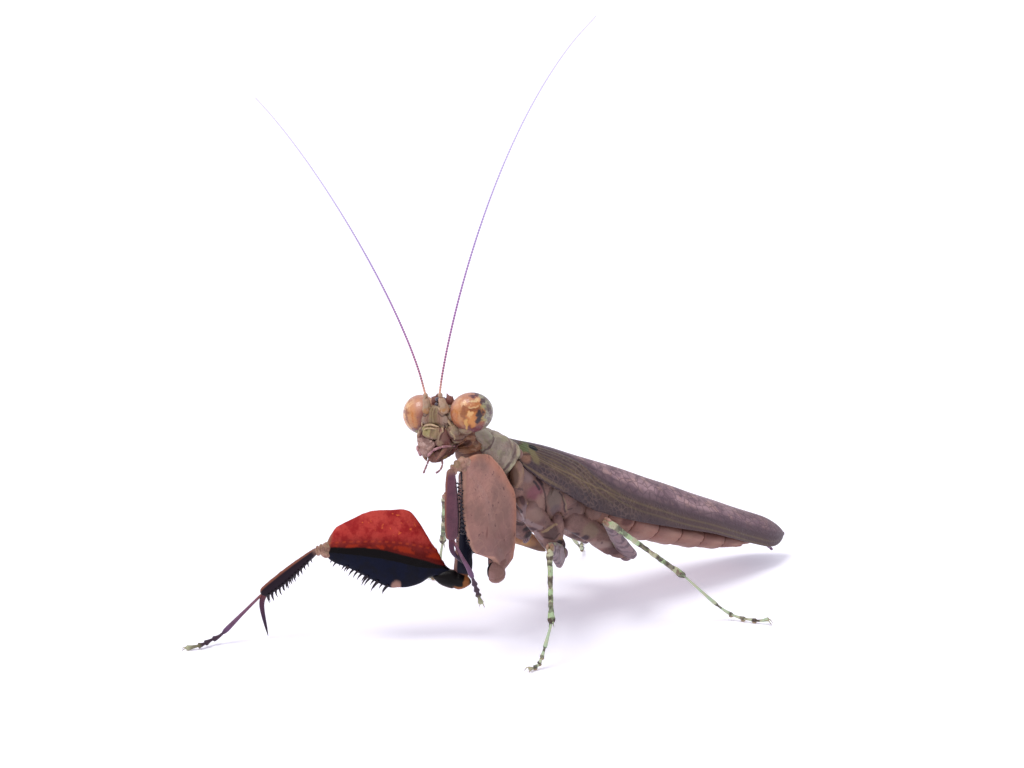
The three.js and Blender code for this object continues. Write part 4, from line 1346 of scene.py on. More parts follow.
@finish("shin", "leg_green", "b4c8a0", "leg_dark", 2.4, 0.8, 0.5, 0.45)
def shin_finish(graph, shade):
    """Green and pale tan, blotched and banded maroon."""
    place = graph.millimetres()
    shade = graph.layers(
        shade,
        ("c2ac96", graph.blots(0.45, 0.58, 1.5, 3, place), 0.55),
        ("74544a", graph.blots(0.57, 0.62, 1.9, 3, place), 0.8),
    )
    shade = banded(
        graph, shade, place, [(0.13, 0.02), (0.2, 0.02), (0.45, 0.06), (0.66, 0.03), (0.78, 0.05)], 0.9,
    )
    return banded(graph, shade, place, [(0.97, 0.045)], 1.0)


@finish("foot", "b2c4a4", "bcc0a0", "leg_dark", 2.0, 0.4, 0.5, 0.45)
def foot_finish(graph, shade):
    """Pale green joints with dark ends, the last joints browner."""
    place = graph.millimetres()
    along = graph.lay()[2]
    outer = graph.both(graph.step(along, 0.62, 0.85), graph.blots(0.42, 0.58, 2.4, 2, place), 0.7)
    shade = graph.over(shade, "a08c6c", outer)
    return banded(graph, shade, place, [(0.47, 0.03), (0.62, 0.02), (0.74, 0.018), (0.86, 0.03)], 0.95)


@finish("upper_lip", "ac8a80", "947266", "jaw", 2.4, 0.7, 0.6, 0.45)
def lip_finish(graph, shade):
    """The pinkish grey upper lip, with a painted shadow darkening its top."""
    along = graph.lay()[2]
    return graph.layers(
        shade,
        # painted shadow: a dark band across the top of the lip
        ("5e3f3c", graph.band(along, 0.12, 0.1, 0.12), graph.blots(0.4, 0.55, 2.4, 2), 0.8),
        ("80625a", graph.blots(0.52, 0.6, 2.8, 3), 0.6),
        ("c4a69c", graph.blots(0.58, 0.66, 3.6, 2), 0.6),
    )


# Pink palps.
palp_finish = plain("palp", "b98c8c", "9d7078", "jaw", 3.0, 0.4, 0.4, 0.42)


@finish("knee", "9c7462", "8a7458", "4a3430", 2.6, 0.8, 0.9, 0.45)
def knee_finish(graph, shade):
    """Mottled folds of the knees, tan, olive and brown."""
    return graph.layers(
        shade,
        ("bb9080", graph.blots(0.46, 0.58, 1.6, 3), 0.6),
        ("6b4440", graph.blots(0.52, 0.6, 2.2, 3, stretch=(0.6, 1.0, 1.5)), 0.6),
    )


# Brown pads under the feet.
pad_finish = plain("foot_pad", "8f7f66", "a58f70", "leg_dark", 3.0, 0.6, 0.4, 0.55)


@finish("hindwing", "7d6a76", "6b5a66", "wing_net", 1.5, 0.4, 0.4, 0.4)
def hindwing_finish(graph, shade):
    """The dull violet fans of the hindwings."""
    across = graph.lay()[0]
    wave = graph.repeat(across, 7.0)
    return graph.over(shade, "wing_net", graph.band(wave, 0.5, 0.08, 0.1))


@finish("cercus", "7c5f7c", "8f7484", "thorax_dark", 1.5, 0.5, 0.4, 0.45)
def cercus_finish(graph, shade):
    """Purple joints of the cerci."""
    wave = graph.repeat(graph.lay()[2], 9.0)
    return graph.over(shade, "thorax_dark", graph.band(wave, 0.0, 0.12, 0.1), 0.7)


# Pale ridges of the face.
ridge_finish = plain("face_ridge", "head_rim", "a98e70", "jaw", 3.0, 0.6, 0.5, 0.45)


@finish("foot_claw", "b9b594", "a39c80", "leg_dark", 3.0, 0.3, 0.2, 0.3)
def nail_finish(graph, shade):
    """Pale green claws of the feet with brown points."""
    along = graph.lay()[2]
    return graph.over(shade, "6b4a40", graph.step(along, 0.5, 0.9))


@finish("far_coxa", "b5885a", "9a6c52", "thorax_dark", 1.4, 0.5, 0.6, 0.5)
def far_coxa_finish(graph, shade):
    """The mid leg's root on the right: orange-tan, dark below."""
    high = graph.parts(graph.standing())[2]
    low = graph.fall(high, 3.2, 3.7)
    return graph.over(shade, "4a3230", low, 0.7)


@finish("face_plate", "857654", "93795c", "jaw", 2.6, 0.8, 0.8, 0.42)
def clypeus_finish(graph, shade):
    """The face plate: olive to the right, yellower to the left, with a seam between and dark sides."""
    across, _, along = graph.lay()
    swing = graph.scaled(graph.noise(2.4, 3), 0.3, -0.15)
    wide = graph.math("ADD", across, swing)
    arch = graph.scaled(graph.both(across, across), -0.14, along)
    edge = graph.either(graph.step(wide, 0.82, 0.95), graph.step(graph.minus(wide), 0.95, 1.05))
    return graph.layers(
        shade,
        ("a09460", graph.step(wide, -0.3, -0.1), 0.6),
        ("7d5f4c", graph.band(wide, -0.22, 0.03, 0.06), 0.6),
        ("946c5c", graph.band(arch, 0.13, 0.03, 0.04), 0.6),
        ("8f7066", graph.step(graph.math("ADD", along, swing), 0.78, 0.95), 0.7),
        ("4a2c2a", edge, graph.blots(0.36, 0.56, 2.6, 2), 0.85),
    )


@once
def floor_finish():
    """The plain pale floor of a light box, which glows a little."""
    material = bpy.data.materials.new("floor")
    material.use_nodes = True
    shader = material.node_tree.nodes["Principled BSDF"]
    shader.inputs["Base Color"].default_value = (*looks("floor"), 1)
    shader.inputs["Roughness"].default_value = 0.9
    shader.inputs["Specular IOR Level"].default_value = 0.1
    shader.inputs["Emission Color"].default_value = (*web("e4dcf6"), 1)
    shader.inputs["Emission Strength"].default_value = 0.3
    return material


# ---------------------------------------------------------------- pieces


class PieceMaker:
    """What every operator of a piece shares."""

    bl_options = {"REGISTER", "UNDO"}

    def execute(self, context):
        self.build()
        return {"FINISHED"}


class MANTIS_OT_eyes(PieceMaker, Operator):
    """Model the two compound eyes"""

    bl_idname = "mantis.eyes"
    bl_label = "Eyes"

    def build(self):
        for side, sign in SIDES.items():
            splay = EYE["splay"]
            out = head_way(sign * math.cos(splay), -math.sin(splay), 0)
            front = head_way(sign * math.sin(splay), math.cos(splay), 0)
            middle = on_head(sign * EYE["across"], -EYE["behind"], EYE["rise"] + 0.04 * sign - 0.04)

            def swell(place):
                """Fuller above than below, and drawn in a little where it meets the head."""
                place.y *= 1.0 if place.y > 0 else 0.97
                place.x *= 1.0 if place.x > 0 else 0.98
                return place

            shape = new_shape()
            egg(shape, middle, (out, head_way(0, 0, 1), front), (1.14, 1.05, 0.95), 6, swell)
            finish_piece(shape, f"eye_{side}_globe", [eye_finish()], [f"eye_{side}"])


def marked(graph, shade, marks):
    """Soft marks on the flank: (colour, share, its middle and its reach, tailwards and up)."""
    _, back, high = graph.parts(graph.shaken(graph.standing(), 1.8, 0.14))
    flank = graph.joined(back, high)
    for tint, share, middle, reach in marks:
        spot = graph.spot(flank, (*middle, 0), (*reach, 1), 0.35)
        shade = graph.over(shade, tint, spot, share)
    return shade


BLUSHES = (
    ("6e4340", 0.8, (0.7, -1.28), (0.26, 0.34)), ("8a6456", 0.6, (0.42, -0.2), (0.2, 0.4)),
    ("77534a", 0.6, (1.25, -1.4), (0.3, 0.25)),
)
CREASES = (
    ("4a2624", 0.85, 0.035, ((0.58, -0.66), (0.6, -0.95), (0.42, -1.36))),
    ("4a2624", 0.85, 0.04, ((0.72, -0.85), (0.84, -1.2), (0.98, -1.46), (1.25, -1.52))),
    ("5c3a32", 0.7, 0.03, ((0.66, -0.5), (0.76, -0.78), (0.95, -0.92))),
    ("4a382c", 0.8, 0.03, ((0.3, 0.0), (0.52, -0.16), (0.84, -0.12))),
    ("6b4c3c", 0.7, 0.03, ((0.1, 0.2), (0.06, -0.2), (0.14, -0.52))),
    ("6b4c3c", 0.6, 0.03, ((0.32, -0.1), (0.42, -0.34), (0.36, -0.54))),
    ("5c3a32", 0.7, 0.03, ((0.5, -1.6), (0.68, -1.9), (0.5, -2.2))),
    ("c4ab86", 0.6, 0.025, ((0.98, -0.95), (1.1, -1.2), (1.02, -1.42))),
    ("c4ab86", 0.6, 0.025, ((0.3, -0.62), (0.5, -0.74), (0.56, -0.95))),
)


def creased(graph, shade):
    """Red-brown patches and dark creases of the face."""
    face = graph.shaken(graph.on_face(), 3.0, 0.06)
    for tint, share, middle, reach in BLUSHES:
        spot = graph.spot(face, (*middle, 0), (*reach, 1), 0.35)
        shade = graph.over(shade, tint, spot, share)
    return stroked(graph, shade, CREASES, face)


def stroked(graph, shade, strokes, flank=None):
    """Lines on the flank: (colour, share, half width, places that it runs through)."""
    if flank is None:
        _, back, high = graph.parts(graph.shaken(graph.standing(), 2.2, 0.1))
        flank = graph.joined(back, high)
    for tint, share, half, places in strokes:
        lines = [graph.stroke(flank, a, b, half) for a, b in zip(places, places[1:])]
        shade = graph.over(shade, tint, graph.either(*lines), share)
    return shade


def across_head(sign, left, forward, up):
    return on_head(sign * left, forward, up)


class MANTIS_OT_head(PieceMaker, Operator):
    """Model the head capsule with its crown, cheeks, horns and simple eyes"""

    bl_idname = "mantis.head"
    bl_label = "Head capsule"

    def build(self):
        shape = new_shape()
        front = head_way(0, 1, 0)

        def relief(x, y, t):
            """Grooves from the feelers to the jaws, and creases over the cheeks."""
            groove = -0.07 * bump(abs(x), 0.62 + 0.25 * (t - 0.5), 0.05) * (0.3 < t < 0.95) * (y > 0)
            fold = -0.05 * bump(t, 0.72 + 0.12 * y, 0.02) * (abs(x) > 0.6)
            place = Vector((x, y, t * 2))
            return groove + fold + 0.05 * rough(place, 2.6, 2.0) + 0.02 * rough(place, 8.0, 2.0)

        sweep(
            shape, Path(on_head(0, -0.62, 0.42), on_head(0, -0.75, -0.4), on_head(0, -0.6, -1.95)), front,
            up=((0, 0.4), (0.12, 0.7), (0.35, 0.95), (0.7, 0.95), (1, 0.7)),
            down=((0, 0.35), (0.12, 0.7), (0.4, 0.95), (0.75, 0.85), (1, 0.35)),
            side=((0, 0.6), (0.12, 0.88), (0.35, 1.12), (0.6, 1.3), (0.8, 1.1), (1, 0.5)), sides=72,
            steps=56, square=0.9, blunt=(0.14, 0.12), relief=relief,
        )
        axes = [head_way(1, 0, 0), front, head_way(0, 0, 1)]
        for sign in SIDES.values():
            # the cheek under the eye
            egg(shape, across_head(sign, 1.2, -0.7, -1.0), axes, (0.5, 0.6, 0.36), 4)
            egg(shape, across_head(sign, 0.85, -0.12, -1.05), axes, (0.4, 0.42, 0.42), 4)
            egg(shape, across_head(sign, 1.42, -0.48, -0.98), axes, (0.5, 0.45, 0.28), 4)
            egg(shape, across_head(sign, 0.95, -0.3, -1.4), axes, (0.32, 0.42, 0.3), 4)
            # the ridge from the feeler's socket to the jaw
            ridge = [(0.23, 0.12, 0.3), (0.6, 0.16, -0.12), (0.87, 0.14, -0.53), (1.02, 0.02, -0.9)]
            limb(
                shape, [across_head(sign, *place) for place in ridge],
                ((0, 0.03), (0.3, 0.06), (0.7, 0.07), (1, 0.03)), sides=10, steps=30, blunt=(0.2, 0.2),
                coat=3,
            )
            cheek = [(0.62, 0.2, -0.8), (0.76, 0.12, -1.15), (1.0, -0.08, -1.5)]
            limb(
                shape, [across_head(sign, *place) for place in cheek], ((0, 0.03), (0.5, 0.06), (1, 0.03)),
                sides=10, steps=20, blunt=(0.2, 0.2), coat=3,
            )
            # a horn of the crown with two points, and a bead set into its inner side
            horn = across_head(sign, 0.46, -0.66, 0.42)
            egg(shape, horn, axes, (0.24, 0.22, 0.3), 4, coat=1)
            thorn(shape, horn, across_head(sign, 0.3, -0.7, 0.84), 0.18, sides=10, coat=1)
            thorn(shape, horn, across_head(sign, 0.7, -0.66, 0.68), 0.19, sides=10, coat=1)
            egg(shape, across_head(sign, 0.22, -0.5, 0.54), axes, (0.12, 0.1, 0.14), 4, coat=2)
            # the collar that the feeler stands in
            collar = [on_head(0.64 * sign + 0.08, -0.2, -0.2), on_head(0.66 * sign + 0.08, 0.08, -0.1)]
            limb(shape, collar, ((0, 0.36), (0.7, 0.32), (1, 0.27)), sides=24, steps=10, blunt=(0, 0.3))
        egg(shape, on_head(0, -0.1, 0.36), axes, (0.1, 0.1, 0.11), 4, coat=2)
        coats = [head_finish(), horn_finish(), bead_finish(), ridge_finish()]
        finish_piece(shape, "head_capsule", coats, ["head"])


class MANTIS_OT_face(PieceMaker, Operator):
    """Model the face plates: forehead, face plate and upper lip"""

    bl_idname = "mantis.face"
    bl_label = "Face plates"

    def build(self):
        shape = new_shape()
        front = head_way(0, 1, 0.1)

        def worn(height, seed):
            def relief(x, y, t):
                dent = -height * bump(abs(x), 0.4, 0.2) * bump(t, 0.5, 0.3)
                uneven = 0.06 * rough(Vector((1.2 * x, y, 2 * t)), 2.2, seed)
                return dent + uneven + 0.02 * rough(Vector((1.2 * x, y, 2 * t)), 6.0, seed)

            return relief

        sweep(
            shape, Path(on_head(0, 0.0, 0.34), on_head(0, 0.16, -0.1), on_head(0, 0.22, -0.66)), front,
            up=((0, 0.04), (0.3, 0.14), (0.8, 0.18), (1, 0.1)), down=0.3,
            side=((0, 0.1), (0.2, 0.4), (0.5, 0.74), (0.8, 0.86), (1, 0.7)), sides=56, steps=36,
            square=0.95, blunt=(0.06, 0.14), relief=worn(0.08, 1.0),
        )
        sweep(
            shape, Path(on_head(-0.14, 0.3, -0.6), on_head(-0.18, 0.42, -0.92), on_head(-0.26, 0.5, -1.3)),
            front, up=((0, 0.08), (0.2, 0.17), (0.8, 0.16), (1, 0.1)), down=0.34,
            side=((0, 0.44), (0.2, 0.55), (0.5, 0.58), (0.8, 0.48), (1, 0.36)), sides=56, steps=32,
            square=0.95, blunt=(0.2, 0.1), relief=worn(0.1, 4.0), coat=1,
        )
        # the arched ridges across the top of the face plate
        for drop, wide, place in ((0.0, 0.055, 0.0), (0.17, 0.035, 0.04)):
            arch = [(-0.64, 0.38, -0.74), (-0.42, 0.5, -0.6), (-0.02, 0.52, -0.56), (0.36, 0.4, -0.7)]
            limb(
                shape, [on_head(left, forward + place, up - drop) for left, forward, up in arch],
                ((0, 0.02), (0.3, wide), (0.7, wide), (1, 0.02)), sides=10, steps=24, coat=3,
            )
        sweep(
            shape, Path(on_head(-0.42, 0.46, -1.26), on_head(-0.52, 0.6, -1.7), on_head(-0.5, 0.64, -2.26)),
            front, up=((0, 0.12), (0.3, 0.18), (1, 0.08)), down=0.3,
            side=((0, 0.42), (0.25, 0.54), (0.65, 0.42), (1, 0.18)), sides=44, steps=28, square=0.85,
            blunt=(0.12, 0.2), relief=worn(0.05, 8.0), coat=2,
        )
        coats = [face_finish(), clypeus_finish(), lip_finish(), ridge_finish()]
        finish_piece(shape, "face_plates", coats, ["labrum"])


def at_mouth(sign, left, forward, up):
    """A place by the jaws, which hang a little forward and to the right."""
    return on_head(sign * left - 0.24, forward + 0.16, up)


class MANTIS_OT_jaws(PieceMaker, Operator):
    """Model the jaws, the lower lip and the palps"""

    bl_idname = "mantis.jaws"
    bl_label = "Jaws and palps"

    def build(self):
        shape = new_shape()
        forward = head_way(0, 1, 0.6)
        sweep(
            shape, Path(on_head(0, -0.9, -1.75), on_head(-0.15, 0.0, -2.15), on_head(-0.22, 0.62, -2.5)),
            forward, up=((0, 0.3), (0.4, 0.4), (1, 0.18)), side=((0, 0.7), (0.5, 0.6), (1, 0.38)), sides=48,
            steps=36, blunt=(0.1, 0.2), coat=1,
            relief=lambda x, y, t: 0.06 * math.sin(9 * x + 2 * t) * (1 - t)
            - 0.05 * bump(x, 0, 0.1) + 0.06 * rough(
                Vector((x, y, 3 * t)), 3.0,
            ),
        )
        for sign in SIDES.values():
            # the jaw, a wedge beside the face plate that widens down
            sweep(
                shape,
                Path(
                    at_mouth(sign, 0.66, 0.04, -0.72), at_mouth(sign, 0.7, 0.1, -1.25),
                    at_mouth(sign, 0.6, 0.12, -1.8),
                ),
                head_way(sign * 0.6, 0.8, 0), ((0, 0.12), (0.4, 0.26), (0.8, 0.24), (1, 0.12)),
                side=((0, 0.12), (0.4, 0.3), (0.8, 0.42), (1, 0.36)), sides=32, steps=28,
                blunt=(0.15, 0.15),
                relief=lambda x, y, t: 0.04 * rough(Vector((x, y, 2 * t)), 3.0) - 0.05 * bump(x, 0.3, 0.08),
            )
            # the second jaw behind it
            sweep(
                shape,
                Path(
                    at_mouth(sign, 0.85, -0.35, -1.65), at_mouth(sign, 0.7, 0.1, -2.0),
                    at_mouth(sign, 0.3, 0.5, -2.45),
                ),
                forward, ((0, 0.22), (0.5, 0.18), (1, 0.05)), sides=24, steps=24, blunt=(0.1, 0.2),
            )
            lip = [
                at_mouth(sign, 0.4, 0.1, -2.35), at_mouth(sign, 0.5, 0.25, -2.68),
                at_mouth(sign, 0.5, 0.48, -2.9), at_mouth(sign, 0.4, 0.75, -3.02),
            ]
            palp(shape, lip, 0.06, (0.0, 0.36, 0.68, 1.0), coat=2)
        coats = [jaw_finish(), mouth_finish(), palp_finish()]
        finish_piece(shape, "mouthparts", coats, ["jaws"])

        for side, sign in SIDES.items():
            shape = new_shape()
            points = [
                at_mouth(sign, 0.95, -0.4, -1.85), at_mouth(sign, 0.9, 0.25, -1.72),
                at_mouth(sign, 0.58, 0.75, -1.76), at_mouth(sign, 0.22, 1.0, -2.05),
            ]
            palp(shape, points, 0.075, (0.0, 0.14, 0.28, 0.52, 0.78, 1.0))
            finish_piece(shape, f"palp_{side}_joints", [palp_finish()], [f"palp_{side}"])


def palp(shape, points, wide, ends, coat=0):
    """A palp of joints, each swelling to its far end."""
    path = Path(*points)
    for start, end in zip(ends, ends[1:]):

        def width(t, start=start, end=end):
            k = min(1.0, max(0.0, (t - start) / (end - start)))
            return wide * (0.72 + 0.3 * k)

        sweep(shape, path, UP, width, sides=14, steps=14, blunt=(0.12, 0.2), part=(start, end), coat=coat)


class MANTIS_OT_feelers(PieceMaker, Operator):
    """Model the feelers: root joints and long ringed whips"""

    bl_idname = "mantis.feelers"
    bl_label = "Feelers"

    # From its second joint, how each feeler starts off, where its tip is and how it gets there.
    WAYS = {
        "left": (Vector((0.25, 0.2, 2.8)), Vector((4.3, 3.13, 5.1)), Vector((4.8, 6.2, 19.1))),
        "right": (Vector((-1.5, -0.11, 4.0)), Vector((-3.55, -1.8, 3.3)), Vector((-10.75, -3.65, 14.5))),
    }

    def build(self):
        rings = 2 * count("feeler_rings")
        for side, sign in SIDES.items():
            socket = on_head(0.6 * sign + 0.08, 0.05, -0.08)
            joint = on_head(0.47 * sign + 0.08, 0.2, 1.0)
            shape = new_shape()
            limb(
                shape, [socket, socket.lerp(joint, 0.5), socket.lerp(joint, 0.84)],
                ((0, 0.26), (0.3, 0.24), (0.65, 0.19), (1, 0.15)), sides=32, steps=32, blunt=(0.2, 0.2),
                relief=lambda x, y, t: 0.05 * rough(Vector((x, y, 2 * t)), 2.4),
            )
            limb(
                shape, [socket.lerp(joint, 0.8), joint + (joint - socket) * 0.04],
                ((0, 0.09), (0.5, 0.13), (1, 0.09)), sides=20, steps=16, blunt=(0.1, 0.25),
            )
            finish_piece(shape, f"scape_{side}_joints", [scape_finish()], [f"scape_{side}"])

            start, bend, tip = self.WAYS[side]
            corners = (joint, joint + start, joint + tip - bend, joint + tip)
            places = []
            for i in range(13):
                k = i / 12
                shares = ((1 - k) ** 3, 3 * k * (1 - k) ** 2, 3 * k * k * (1 - k), k**3)
                places.append(sum((corner * share for corner, share in zip(corners, shares)), Vector()))

            def width(t):
                wide = measure("feeler_base") + (measure("feeler_tip") - measure("feeler_base")) * t**0.8
                return wide * (1 + 0.12 * math.sin(math.tau * rings * t) * (1 - t))

            shape = new_shape()
            sweep(
                shape, Path(*places), Vector((0, -1, 0)), width, sides=8, steps=5 * rings, blunt=(0, 0.01),
                crowd=False,
            )
            nodes = [f"feeler_{side}_{i}" for i in (1, 2)]
            finish_piece(shape, f"feeler_{side}_whip", [feeler_finish()], nodes)


class MANTIS_OT_shield(PieceMaker, Operator):
    """Model the neck shield, a cape over the neck and the fore coxae"""

    bl_idname = "mantis.shield"
    bl_label = "Neck shield"

    def build(self):
        shape = new_shape()

        def relief(x, y, t):
            uneven = 0.06 * rough(Vector((x, y, 3 * t)), 2.0) + 0.02 * rough(Vector((x, y, 3 * t)), 6.0)
            low = 0.04 * bump(y, -0.85, 0.08)
            rear = 0.04 * bump(t, 0.94, 0.04) - 0.05 * bump(t, 0.86 + 0.02 * y, 0.02)
            if y < -0.25:
                return low + rear + uneven
            keel = 0.07 * bump(x, 0, 0.08) * (1 - bump(t, 0.36, 0.05))
            groove = -0.1 * bump(t, 0.42 + 0.06 * abs(x), 0.03)
            humps = 0.09 * bump(abs(x), 0.5, 0.22) * bump(t, 0.22, 0.12)
            humps += 0.08 * bump(abs(x), 0.55, 0.25) * bump(t, 0.62, 0.2)
            return keel + groove + humps + rear + uneven

        sweep(
            shape, Path(trunk(0, -3.75, -0.35), trunk(0, -1.8, -0.5), trunk(0, -0.25, -0.7)), TRUNK_UP,
            up=((0, 0.2), (0.12, 0.42), (0.5, 0.55), (0.9, 0.65), (1, 0.55)),
            down=((0, 0.1), (0.2, 0.16), (0.35, 0.45), (0.5, 0.95), (0.7, 1.5), (0.85, 1.78), (1, 1.6)),
            side=((0, 0.55), (0.15, 0.95), (0.3, 1.3), (0.5, 1.6), (0.7, 1.62), (0.95, 1.6), (1, 1.5)),
            sides=110, steps=96, square=0.8, blunt=(0.05, 0.02), relief=relief,
        )
        finish_piece(shape, "neck_shield", [shield_finish()], ["pronotum"])


class MANTIS_OT_thorax(PieceMaker, Operator):
    """Model the neck and the three parts of the thorax with their side plates"""

    bl_idname = "mantis.thorax"
    bl_label = "Thorax"

    PARTS = {
        "mesothorax": (-0.3, 2.5, (1.7, 2.3, 2.35), (1.3, 1.6, 1.6)),
        "metathorax": (2.53, 5.1, (2.3, 2.35, 1.5), (1.6, 1.7, 1.55)),
    }
    # The smooth swellings of one flank: place on the left, half sizes and finish.
    SWELLINGS = {
        "mesothorax": (
            ((1.42, -2.57, 8.8), (0.32, 0.43, 0.75), 1), ((1.2, -1.3, 7.0), (0.42, 0.75, 1.35), 0),
            ((1.22, -0.2, 6.85), (0.36, 0.6, 1.1), 0), ((1.3, -2.2, 6.8), (0.33, 0.5, 0.75), 0),
            ((1.25, -2.42, 9.85), (0.3, 0.3, 0.3), 0),
        ),
        "metathorax": (((1.32, 1.2, 6.3), (0.34, 0.9, 0.85), 0), ((1.45, 2.5, 5.9), (0.3, 0.6, 0.6), 0)),
    }

    def build(self):
        shape = new_shape()

        def folds(x, y, t):
            wave = 20 * t + 3 * x + 2 * math.sin(3 * y)
            return 0.08 * math.sin(wave) * (0.1 < t < 0.85) + 0.04 * rough(Vector((x, y, 4 * t)), 2.5)

        sweep(
            shape, Path(on_head(0, -0.9, -0.95), Vector((0.15, -5.0, 11.1)), trunk(0.1, -2.6, -1.1)),
            TRUNK_UP, up=((0, 0.75), (0.5, 0.68), (1, 0.7)), down=((0, 0.75), (0.5, 0.8), (1, 0.9)),
            side=((0, 0.85), (0.5, 0.82), (1, 1.0)), sides=56, steps=60, blunt=(0.06, 0.04), relief=folds,
        )
        finish_piece(shape, "neck_folds", [neck_finish()], ["neck"])

        shape = new_shape()
        sweep(
            shape, Path(trunk(0, -2.75, -1.45), trunk(0, -0.2, -1.75)), TRUNK_UP, up=0.9,
            down=((0, 0.45), (0.4, 0.9), (1, 0.9)), side=((0, 0.8), (0.5, 1.25), (1, 1.2)), sides=56,
            steps=40, blunt=(0.08, 0.04),
            relief=lambda x, y, t: 0.05 * rough(Vector((x, y, 3 * t)), 2.5, 4.0),
        )
        finish_piece(shape, "prothorax_plates", [thorax_finish()], ["prothorax"])

        for name, (start, end, low, wide) in self.PARTS.items():
            shape = new_shape()

            def relief(x, y, t):
                seam = -0.07 * bump(t + 0.35 * y, 0.3, 0.03) - 0.06 * bump(t + 0.2 * y, 0.74, 0.02)
                low_seam = -0.07 * bump(y, -0.45 - 0.2 * t, 0.04)
                return (seam + low_seam) * (abs(x) > 0.3) + 0.07 * rough(Vector((x, y, 3 * t)), 1.8, 7.0)

            sweep(
                shape, Path(trunk(0, start, -1.7), trunk(0, end, -1.75)), TRUNK_UP, up=1.2,
                down=((0, low[0]), (0.5, low[1]), (1, low[2])),
                side=((0, wide[0]), (0.5, wide[1]), (1, wide[2])), sides=88, steps=64, blunt=(0.05, 0.05),
                relief=relief,
            )
            for sign in SIDES.values():
                axes = [Vector((sign, 0, 0)), Vector((0, 1, 0)), UP]
                for (across, back, high), sizes, coat in self.SWELLINGS[name]:
                    egg(shape, Vector((sign * across, back, high)), axes, sizes, 4, coat=coat)
            finish_piece(shape, f"{name}_plates", [thorax_finish(), lobe_finish()], [name])


class MANTIS_OT_wings(PieceMaker, Operator):
    """Model the folded wings: two leathery forewings over two pleated hindwings"""

    bl_idname = "mantis.wings"
    bl_label = "Wings"

    def build(self):
        self.half = as_profile(WING_HALF)
        self.droop = as_profile(WING_DROOP)
        self.arch = as_profile(WING_ARCH)
        for side, sign in SIDES.items():
            self.forewing(side, sign)
            self.hindwing(side, sign)

    def roof(self, x, t):
        """Height of the folded wings over the back."""
        share = min(1.0, abs(x) / self.half(t)) ** 2.2
        return self.arch(t) - (self.droop(t) + self.arch(t)) * share

    def thicken(self, shape, thick):
        bmesh.ops.recalc_face_normals(shape, faces=shape.faces)
        if sum((face.normal for face in shape.faces), Vector()).z < 0:
            bmesh.ops.reverse_faces(shape, faces=shape.faces)
        bmesh.ops.solidify(shape, geom=shape.faces[:], thickness=thick)

    def forewing(self, side, sign):
        shape = new_shape()
        lay = lay_of(shape)
        fold, vein = as_profile(FOLD_LINE), as_profile(MAIN_VEIN)
        grid = bmesh.ops.create_grid(shape, x_segments=150, y_segments=300, size=0.5)["verts"]
        inner_edge = -0.85 if sign > 0 else 0.55
        long = WING_LENGTH * (1.0 if sign > 0 else 0.975)
        for vert in grid:
            across, t = vert.co.x + 0.5, vert.co.y + 0.5
            half = self.half(t)
            x = inner_edge * (1 - across) + sign * half * across
            u = x / half
            # the right wing dips under the left one
            dip = 0.2 * min(1.0, max(0.0, (x + 1.25) / 0.5)) if sign < 0 else 0.0
            wide = abs(u)
            raised = 0.04 * bump(wide, vein(t), 0.02) * max(0.0, 1 - 1.5 * t)
            raised -= 0.05 * bump(wide, fold(t), 0.04)
            raised += 0.012 * math.cos(math.tau * 9 * (wide - fold(t))) * (wide > fold(t))
            raised += 0.05 * rough(Vector((x, 6 * t, 0)), 1.1, 3.0)
            # the tip is drawn together to a round end
            end = min(1.0, max(0.0, (t - 0.9) / 0.1))
            close = max(0.12, (1 - end**2) ** 0.75)
            x = sign * (0.25 + (sign * x - 0.25) * close)
            high = self.roof(sign * half * wide, t) * close - 0.15 * (1 - close)
            vert.co = trunk(x, t * long, high - dip * close + raised * close**2)
            vert[lay] = (u, 1.0, t)
        self.thicken(shape, measure("wing_thick"))
        finish_piece(shape, f"forewing_{side}_leather", [wing_finish()], [f"forewing_{side}"])

    def hindwing(self, side, sign):
        shape = new_shape()
        lay = lay_of(shape)
        grid = bmesh.ops.create_grid(shape, x_segments=60, y_segments=120, size=0.5)["verts"]
        for vert in grid:
            across, along = vert.co.x + 0.5, vert.co.y + 0.5
            t = 0.12 + 0.77 * along
            x = sign * (0.02 + across * (1.45 - 0.65 * along**2))
            pleat = 0.07 * math.cos(math.tau * 7 * across)
            vert.co = trunk(x, t * WING_LENGTH, self.roof(x, t) - 0.62 + pleat + 0.15 * along**3)
            vert[lay] = (across, 1.0, along)
        self.thicken(shape, 0.1)
        finish_piece(shape, f"hindwing_{side}_fan", [hindwing_finish()], [f"hindwing_{side}"])


